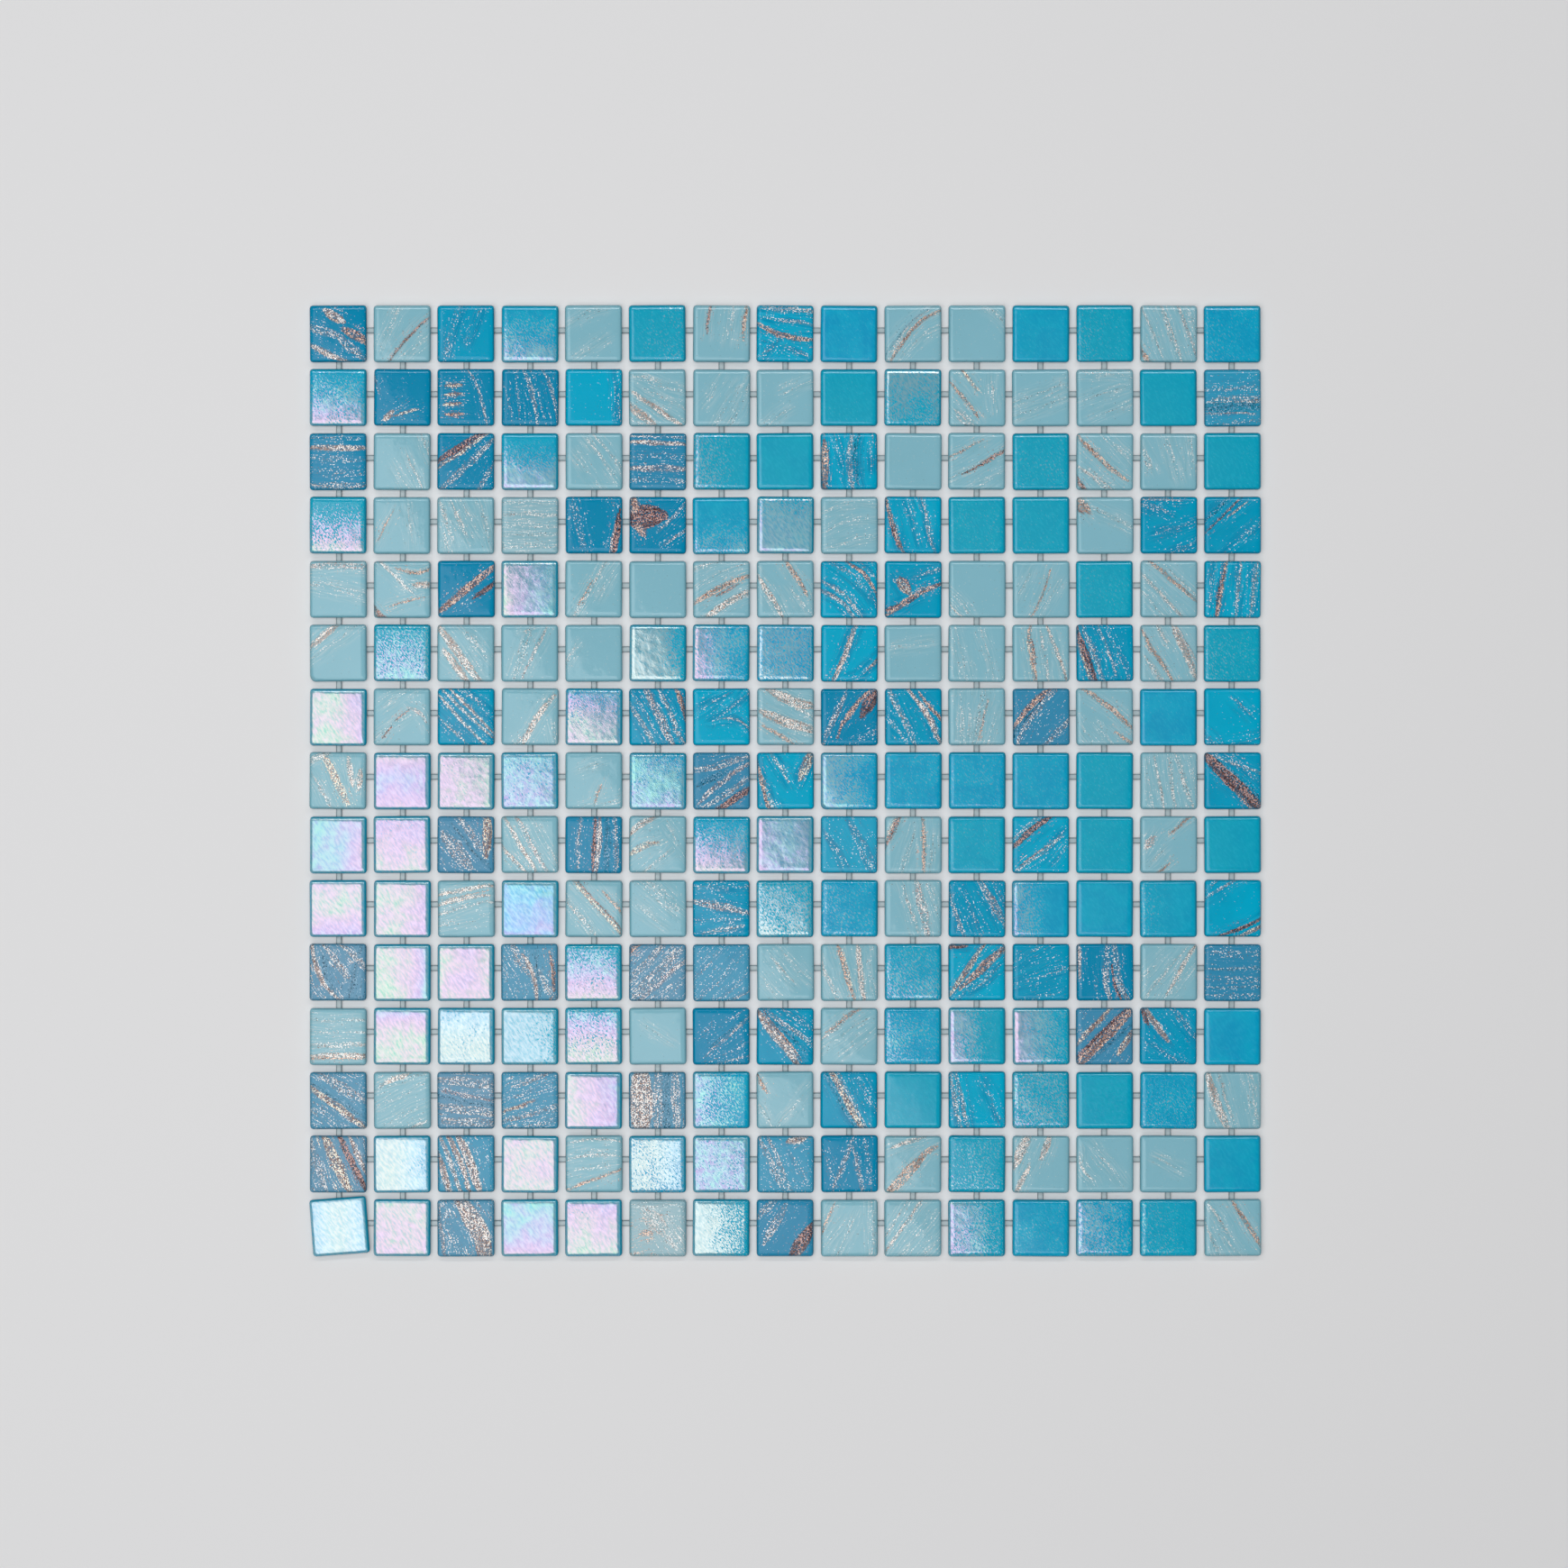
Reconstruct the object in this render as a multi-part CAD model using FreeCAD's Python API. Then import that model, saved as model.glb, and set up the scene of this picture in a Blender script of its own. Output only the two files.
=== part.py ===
import FreeCAD, Part
import math
import os
import random

# A loose sheet of pressed glass mosaic tiles, lying face up with its backs on the floor.
# Small square tiles stand in a regular grid, and a short clear plastic bar bridges each joint
# between two neighbours, low down near their backs, so that the sheet lifts as one.
# Millimetres. The middle of the sheet's underside is the origin, +Z is up, +X runs along a row
# of tiles and +Y runs up a column, towards the first row.

# The grid of tiles
TILE_SIDE = 19.7
TILE_THICKNESS = 4.0
JOINT_WIDTH = 2.25

# One tile. Its widest level is just under the rounded shoulder of the glass face, and its
# flanks lean in from there towards the back, as they leave the press.
SHOULDER_RADIUS = 1.0
CORNER_EXTRA = 0.3
EDGE_BAND = 0.2
FLANK_LEAN = 8.0

# How unevenly the tiles sit in the sheet, either way
PLACE_SPREAD = 0.12
TURN_SPREAD = 0.45
PLACE_SEED = 11

# One tile at a corner of the sheet has swung on its bars
LOOSE_ROW = 15
LOOSE_COLUMN = 1
LOOSE_TURN = 4.3
LOOSE_SHIFT_X = 0.45
LOOSE_SHIFT_Y = 0.55

# Corners that are knocked off, by row and column: which corner, to the right or left and to the
# top or bottom, and how far the break runs along the two edges and down the corner
CHIPS = {
    (6, 1): {"side_x": -1, "side_y": -1, "along_x": 2.6, "along_y": 3.0, "down": 2.8},
    (8, 9): {"side_x": -1, "side_y": -1, "along_x": 2.6, "along_y": 2.6, "down": 2.8},
    (13, 2): {"side_x": 1, "side_y": -1, "along_x": 5.4, "along_y": 3.3, "down": 1.3},
}
CUT_MARGIN = 0.5

# The clear bars in the joints
BAR_WIDTH = 2.0
BAR_HEIGHT = 1.0
BAR_LIFT = 0.15
BAR_EDGE_ROUND = 0.4
BAR_REACH = 3.0
SIDE_BAR_OFFSET = 1.4

# The kinds of glass, row by row from the top left: P pearl, D deep turquoise, A pale aqua
LAYOUT = [
    "DADPAPADPAAPPAP",
    "PDDDDAAAPPAAAPD",
    "DADPADPPDAAPAAP",
    "PAAADDPPADPPADD",
    "AADPAAAADDAAPAD",
    "APAAAPPPDAAADAP",
    "PADAPDDADDADAPD",
    "APPPAPDDPPPPPAD",
    "PPDADAPPDAPDPAP",
    "PPAPAADPPADPPPD",
    "DPPDPDDAAPDDDAD",
    "APPPPADDAPPPDDP",
    "DADDPDPADPDPPPA",
    "DPDPAPPDDAPAAAP",
    "PPDPPAPDAAPPPPA",
]
KINDS = {"P": "pearl_tiles", "D": "turquoise_tiles", "A": "aqua_tiles"}
ROWS_PER_BAND = 3

ROWS = len(LAYOUT)
COLUMNS = len(LAYOUT[0])
PITCH = TILE_SIDE + JOINT_WIDTH
CORNER_RADIUS = SHOULDER_RADIUS + CORNER_EXTRA
WIDEST_LEVEL = TILE_THICKNESS - SHOULDER_RADIUS - EDGE_BAND
FLANK_INSET = WIDEST_LEVEL * math.tan(math.radians(FLANK_LEAN))
UP = FreeCAD.Vector(0, 0, 1)
ORIGIN = FreeCAD.Vector(0, 0, 0)


def rounded_square(side, corner_radius, height):
    """A closed square outline with rounded corners, centred on the Z axis at this height."""
    reach = side / 2 - corner_radius
    centres = [(reach, reach), (-reach, reach), (-reach, -reach), (reach, -reach)]
    arcs = []
    for quarter, (x, y) in enumerate(centres):
        points = []
        for step in range(3):
            angle = math.radians(90 * quarter + 45 * step)
            points.append(FreeCAD.Vector(x + corner_radius * math.cos(angle),
                                         y + corner_radius * math.sin(angle), height))
        arcs.append(points)
    edges = []
    for quarter, points in enumerate(arcs):
        following = arcs[(quarter + 1) % len(arcs)]
        edges.append(Part.Arc(*points).toShape())
        edges.append(Part.LineSegment(points[2], following[0]).toShape())
    return Part.Wire(edges)


def make_tile():
    """One tile, centred on the Z axis with its back on Z = 0."""
    back = rounded_square(TILE_SIDE - 2 * FLANK_INSET, CORNER_RADIUS - FLANK_INSET, 0)
    widest = rounded_square(TILE_SIDE, CORNER_RADIUS, WIDEST_LEVEL)
    flanks = Part.makeLoft([back, widest], True, True)
    face_slab = Part.Face(widest).extrude(UP * (TILE_THICKNESS - WIDEST_LEVEL))
    body = flanks.fuse(face_slab).removeSplitter()
    rim = [edge for edge in body.Edges if edge.BoundBox.ZMin > TILE_THICKNESS - EDGE_BAND / 2]
    return body.makeFillet(SHOULDER_RADIUS, rim)


def knock_off_corner(tile, side_x, side_y, along_x, along_y, down):
    """The tile with one corner broken away along a slanted plane."""
    growth = 1 + CUT_MARGIN / along_x + CUT_MARGIN / along_y + CUT_MARGIN / down
    reach = TILE_SIDE / 2 + CUT_MARGIN
    corner = FreeCAD.Vector(side_x * reach, side_y * reach, TILE_THICKNESS + CUT_MARGIN)
    end_x = corner - FreeCAD.Vector(side_x * along_x * growth, 0, 0)
    end_y = corner - FreeCAD.Vector(0, side_y * along_y * growth, 0)
    foot = corner - UP * down * growth
    sides = [(corner, end_x, end_y), (corner, end_x, foot), (corner, end_y, foot), (end_x, end_y, foot)]
    faces = [Part.Face(Part.makePolygon([*side, side[0]])) for side in sides]
    wedge = Part.Solid(Part.Shell(faces))
    if wedge.Volume < 0:
        wedge.reverse()
    return tile.cut(wedge)


def make_bar():
    """One bar along the X axis, long enough to run into the tiles on both sides of a joint."""
    length = JOINT_WIDTH + 2 * BAR_REACH
    corner = FreeCAD.Vector(-length / 2, -BAR_WIDTH / 2, BAR_LIFT)
    bar = Part.makeBox(length, BAR_WIDTH, BAR_HEIGHT, corner)
    top = BAR_LIFT + BAR_HEIGHT
    long_edges = [edge for edge in bar.Edges
                  if edge.BoundBox.XLength > length / 2 and edge.BoundBox.ZMin > top - BAR_HEIGHT / 2]
    return bar.makeFillet(BAR_EDGE_ROUND, long_edges)


def cell_centre(row, column):
    """The nominal middle of a tile, with rows counted from the top and columns from the left."""
    x = (column - (COLUMNS - 1) / 2) * PITCH
    y = ((ROWS - 1) / 2 - row) * PITCH
    return FreeCAD.Vector(x, y, 0)


def place_tiles(tile):
    """Every tile at its own slightly uneven place, by row and column."""
    draw = random.Random(PLACE_SEED)
    placed = {}
    for row in range(ROWS):
        for column in range(COLUMNS):
            shift_x = draw.uniform(-PLACE_SPREAD, PLACE_SPREAD)
            shift_y = draw.uniform(-PLACE_SPREAD, PLACE_SPREAD)
            turn = draw.uniform(-TURN_SPREAD, TURN_SPREAD)
            if (row + 1, column + 1) == (LOOSE_ROW, LOOSE_COLUMN):
                shift_x, shift_y, turn = LOOSE_SHIFT_X, LOOSE_SHIFT_Y, LOOSE_TURN
            copy = tile.copy()
            if (row + 1, column + 1) in CHIPS:
                copy = knock_off_corner(copy, **CHIPS[(row + 1, column + 1)])
            copy.rotate(ORIGIN, UP, turn)
            copy.translate(cell_centre(row, column) + FreeCAD.Vector(shift_x, shift_y, 0))
            placed[(row, column)] = copy
    return placed


def bridge(bar, first, second, turn, offset, tiles):
    """A bar across the joint between two cells, cut off flush with the flanks of both tiles."""
    piece = bar.copy()
    piece.rotate(ORIGIN, UP, turn)
    middle = (cell_centre(*first) + cell_centre(*second)) * 0.5
    piece.translate(middle + offset)
    return piece.cut([tiles[first], tiles[second]])


def bars_between_columns(bar, tiles):
    """The bars that join each tile to the next one in its row."""
    offset = FreeCAD.Vector(0, SIDE_BAR_OFFSET, 0)
    bars = []
    for row in range(ROWS):
        for column in range(COLUMNS - 1):
            bars.append(bridge(bar, (row, column), (row, column + 1), 0, offset, tiles))
    return bars


def bars_between_rows(bar, tiles):
    """The bars that join each tile to the one below it in its column."""
    bars = []
    for row in range(ROWS - 1):
        for column in range(COLUMNS):
            bars.append(bridge(bar, (row, column), (row + 1, column), 90, ORIGIN, tiles))
    return bars


def export(shapes, node):
    """Write like pieces as the separate solids of one node."""
    solids = [solid for shape in shapes for solid in shape.Solids]
    Part.makeCompound(solids).exportStep("parts/" + node + ".step")
    print(node, len(solids), "solids")


def main():
    os.makedirs("parts", exist_ok=True)
    tiles = place_tiles(make_tile())
    for first_row in range(0, ROWS, ROWS_PER_BAND):
        band = range(first_row, min(first_row + ROWS_PER_BAND, ROWS))
        for letter, kind in KINDS.items():
            members = [tiles[(row, column)] for row in band for column in range(COLUMNS)
                       if LAYOUT[row][column] == letter]
            name = "rows_%02d_%02d_%s" % (band[0] + 1, band[-1] + 1, kind)
            export(members, name)
    bar = make_bar()
    export(bars_between_columns(bar, tiles), "bars_between_columns")
    export(bars_between_rows(bar, tiles), "bars_between_rows")


main()
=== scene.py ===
# %% [markdown]
# A sheet of pressed glass mosaic. Fifteen rows of fifteen small tiles lie face up, and a short
# strip of clear plastic bridges each joint, so that the sheet lifts as one. The glass comes in
# three kinds: pearl, with an iridescent film; deep turquoise; and pale aqua. The last two have
# copper and silver glitter drawn through them.
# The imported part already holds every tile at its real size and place. It is loaded first, and
# everything below reads its places from it.

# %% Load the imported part
import math
import random
from functools import partial

import bpy
import numpy as np
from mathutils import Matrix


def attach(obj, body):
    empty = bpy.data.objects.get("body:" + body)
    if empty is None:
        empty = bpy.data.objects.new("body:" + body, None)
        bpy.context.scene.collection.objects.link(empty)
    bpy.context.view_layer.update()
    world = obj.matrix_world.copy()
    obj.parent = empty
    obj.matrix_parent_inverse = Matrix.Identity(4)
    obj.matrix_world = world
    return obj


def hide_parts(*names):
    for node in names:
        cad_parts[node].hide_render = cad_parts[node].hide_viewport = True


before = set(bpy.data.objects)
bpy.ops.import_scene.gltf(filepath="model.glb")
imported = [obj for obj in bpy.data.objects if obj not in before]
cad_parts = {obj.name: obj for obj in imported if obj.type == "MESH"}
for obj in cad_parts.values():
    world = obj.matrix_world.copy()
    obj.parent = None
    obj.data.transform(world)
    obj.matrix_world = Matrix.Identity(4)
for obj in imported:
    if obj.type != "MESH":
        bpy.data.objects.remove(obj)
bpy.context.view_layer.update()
print("packed nodes:", len(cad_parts))

# %% [markdown]
# The script works in metres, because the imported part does. Patterns are easier to think about in
# millimetres, so one factor goes between the two. The tile sizes are those of the real article.
# The last three say how uneven a pressed tile is: its outline wavers, its face dips here and
# there, and the face sags towards its edges like a pillow.

# %% Sizes of the sheet
MM = 0.001
TILE_SIDE = 19.7 * MM
TILE_THICKNESS = 4.0 * MM
JOINT_WIDTH = 2.25 * MM
PITCH = TILE_SIDE + JOINT_WIDTH
MIDDLE = 8
SHOULDER_RADIUS = 1.0 * MM
EDGE_BAND = 0.2 * MM
FLANK_INSET = 0.39 * MM
SIDE_MM = TILE_SIDE / MM
HALF_MM = SIDE_MM / 2
EDGE_WOBBLE = 0.07 * MM
FACE_DIP = 0.05 * MM
PILLOW = 0.11 * MM

# %% [markdown]
# Node trees are long when every line creates, sets and links. One small function does all three.
# It adds a node, or goes on with one that is there. Values fill its inputs in turn, and each may
# be a number, a hex colour, a socket or another node, whose first live output is then linked. The
# maths nodes take their operation before the values. A word with a capital fills the input of
# that name, and any other word is a setting of the node. Colours are written as the sRGB hex
# values that a painter would pick, and turned to the linear numbers that shaders use.

# %% The node function and the colour function
MATH, VECTOR, RANGE = "ShaderNodeMath", "ShaderNodeVectorMath", "ShaderNodeMapRange"
MIX, NOISE, BUMP = "ShaderNodeMix", "ShaderNodeTexNoise", "ShaderNodeBump"
SPLIT, JOIN, ATTRIBUTE = "ShaderNodeSeparateXYZ", "ShaderNodeCombineXYZ", "ShaderNodeAttribute"


def linear(hex_colour):
    """An sRGB hex colour as linear numbers, with a full alpha."""
    parts = [int(hex_colour[i:i + 2], 16) / 255 for i in (1, 3, 5)]
    return [p / 12.92 if p <= 0.04045 else ((p + 0.055) / 1.055) ** 2.4 for p in parts] + [1]


def first_live(sockets, key=None):
    """The first socket that is in use, or the one in use with this name or number."""
    if isinstance(key, int):
        return sockets[key]
    return next(s for s in sockets if s.enabled and (key is None or s.name == key))


def node(tree, kind, *values, **named):
    """Add a node with its settings, and fill or link its inputs."""
    made = tree.nodes.new(kind) if isinstance(kind, str) else kind
    inputs = {}
    for word, value in named.items():
        if word[0].isupper():
            inputs[word.replace("_", " ")] = value
        else:
            setattr(made, word, value)
    if values and isinstance(values[0], str):
        made.operation, *values = values
    for key, value in [*enumerate(values), *inputs.items()]:
        socket = first_live(made.inputs, key)
        if isinstance(value, bpy.types.Node):
            value = first_live(value.outputs)
        if isinstance(value, bpy.types.NodeSocket):
            tree.links.new(value, socket)
        elif isinstance(value, str) and value.startswith("#"):
            socket.default_value = linear(value)
        elif isinstance(value, float) and socket.type == "VECTOR":
            socket.default_value = [value] * 3
        else:
            socket.default_value = value
    return made


def new_tree(name, kind, inputs, outputs):
    """A node group with these sockets, and the node function bound to it.

    A number makes a number socket with that default, and a word is the type of another socket.
    """
    tree = bpy.data.node_groups.new(name, kind)
    for side, sockets in (("INPUT", inputs), ("OUTPUT", outputs)):
        for label, value in sockets.items():
            if isinstance(value, str):
                tree.interface.new_socket(label, in_out=side, socket_type="NodeSocket" + value)
            else:
                socket = tree.interface.new_socket(label, in_out=side, socket_type="NodeSocketFloat")
                socket.default_value = value
    return tree, partial(node, tree)


def new_material(name):
    """A material, its shader, and the node function bound to its tree."""
    material = bpy.data.materials.new(name)
    material.use_nodes = True
    tree = material.node_tree
    return material, tree.nodes["Principled BSDF"], partial(node, tree)


print("turquoise as linear:", [round(part, 3) for part in linear("#0098C4")])

# %% [markdown]
# Where is each tile, and how far is it turned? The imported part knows. The corners of a tile's
# flat top are picked out of its node, sorted into the grid, and averaged: the middle of their box
# is the tile's centre, and the direction of the corner points in one quarter gives its turn.

# %% Read the tiles' places from the part
def tile_places(node_name):
    """A dictionary from (row, column) to the centre x, y and the turn of each tile of a node."""
    points = np.array([v.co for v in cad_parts[node_name].data.vertices])
    points = points[points[:, 2] > TILE_THICKNESS - 0.01 * MM]
    points = np.unique(points[:, :2].round(7), axis=0)
    cells = np.round(points / PITCH).astype(int)
    places = {}
    for cell in sorted({tuple(c) for c in cells.tolist()}):
        corners = points[(cells == cell).all(axis=1)]
        centre = (corners.min(axis=0) + corners.max(axis=0)) / 2
        away = corners - centre
        quarter = away[(away[:, 0] > 0) & (away[:, 1] > 0)].mean(axis=0)
        turn = math.atan2(quarter[1], quarter[0]) - math.radians(45)
        places[(MIDDLE - cell[1], MIDDLE + cell[0])] = (centre[0], centre[1], turn)
    return places


PLACES = {name: tile_places(name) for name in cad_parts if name.endswith("_tiles")}
print("tiles found:", sum(len(places) for places in PLACES.values()))
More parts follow.
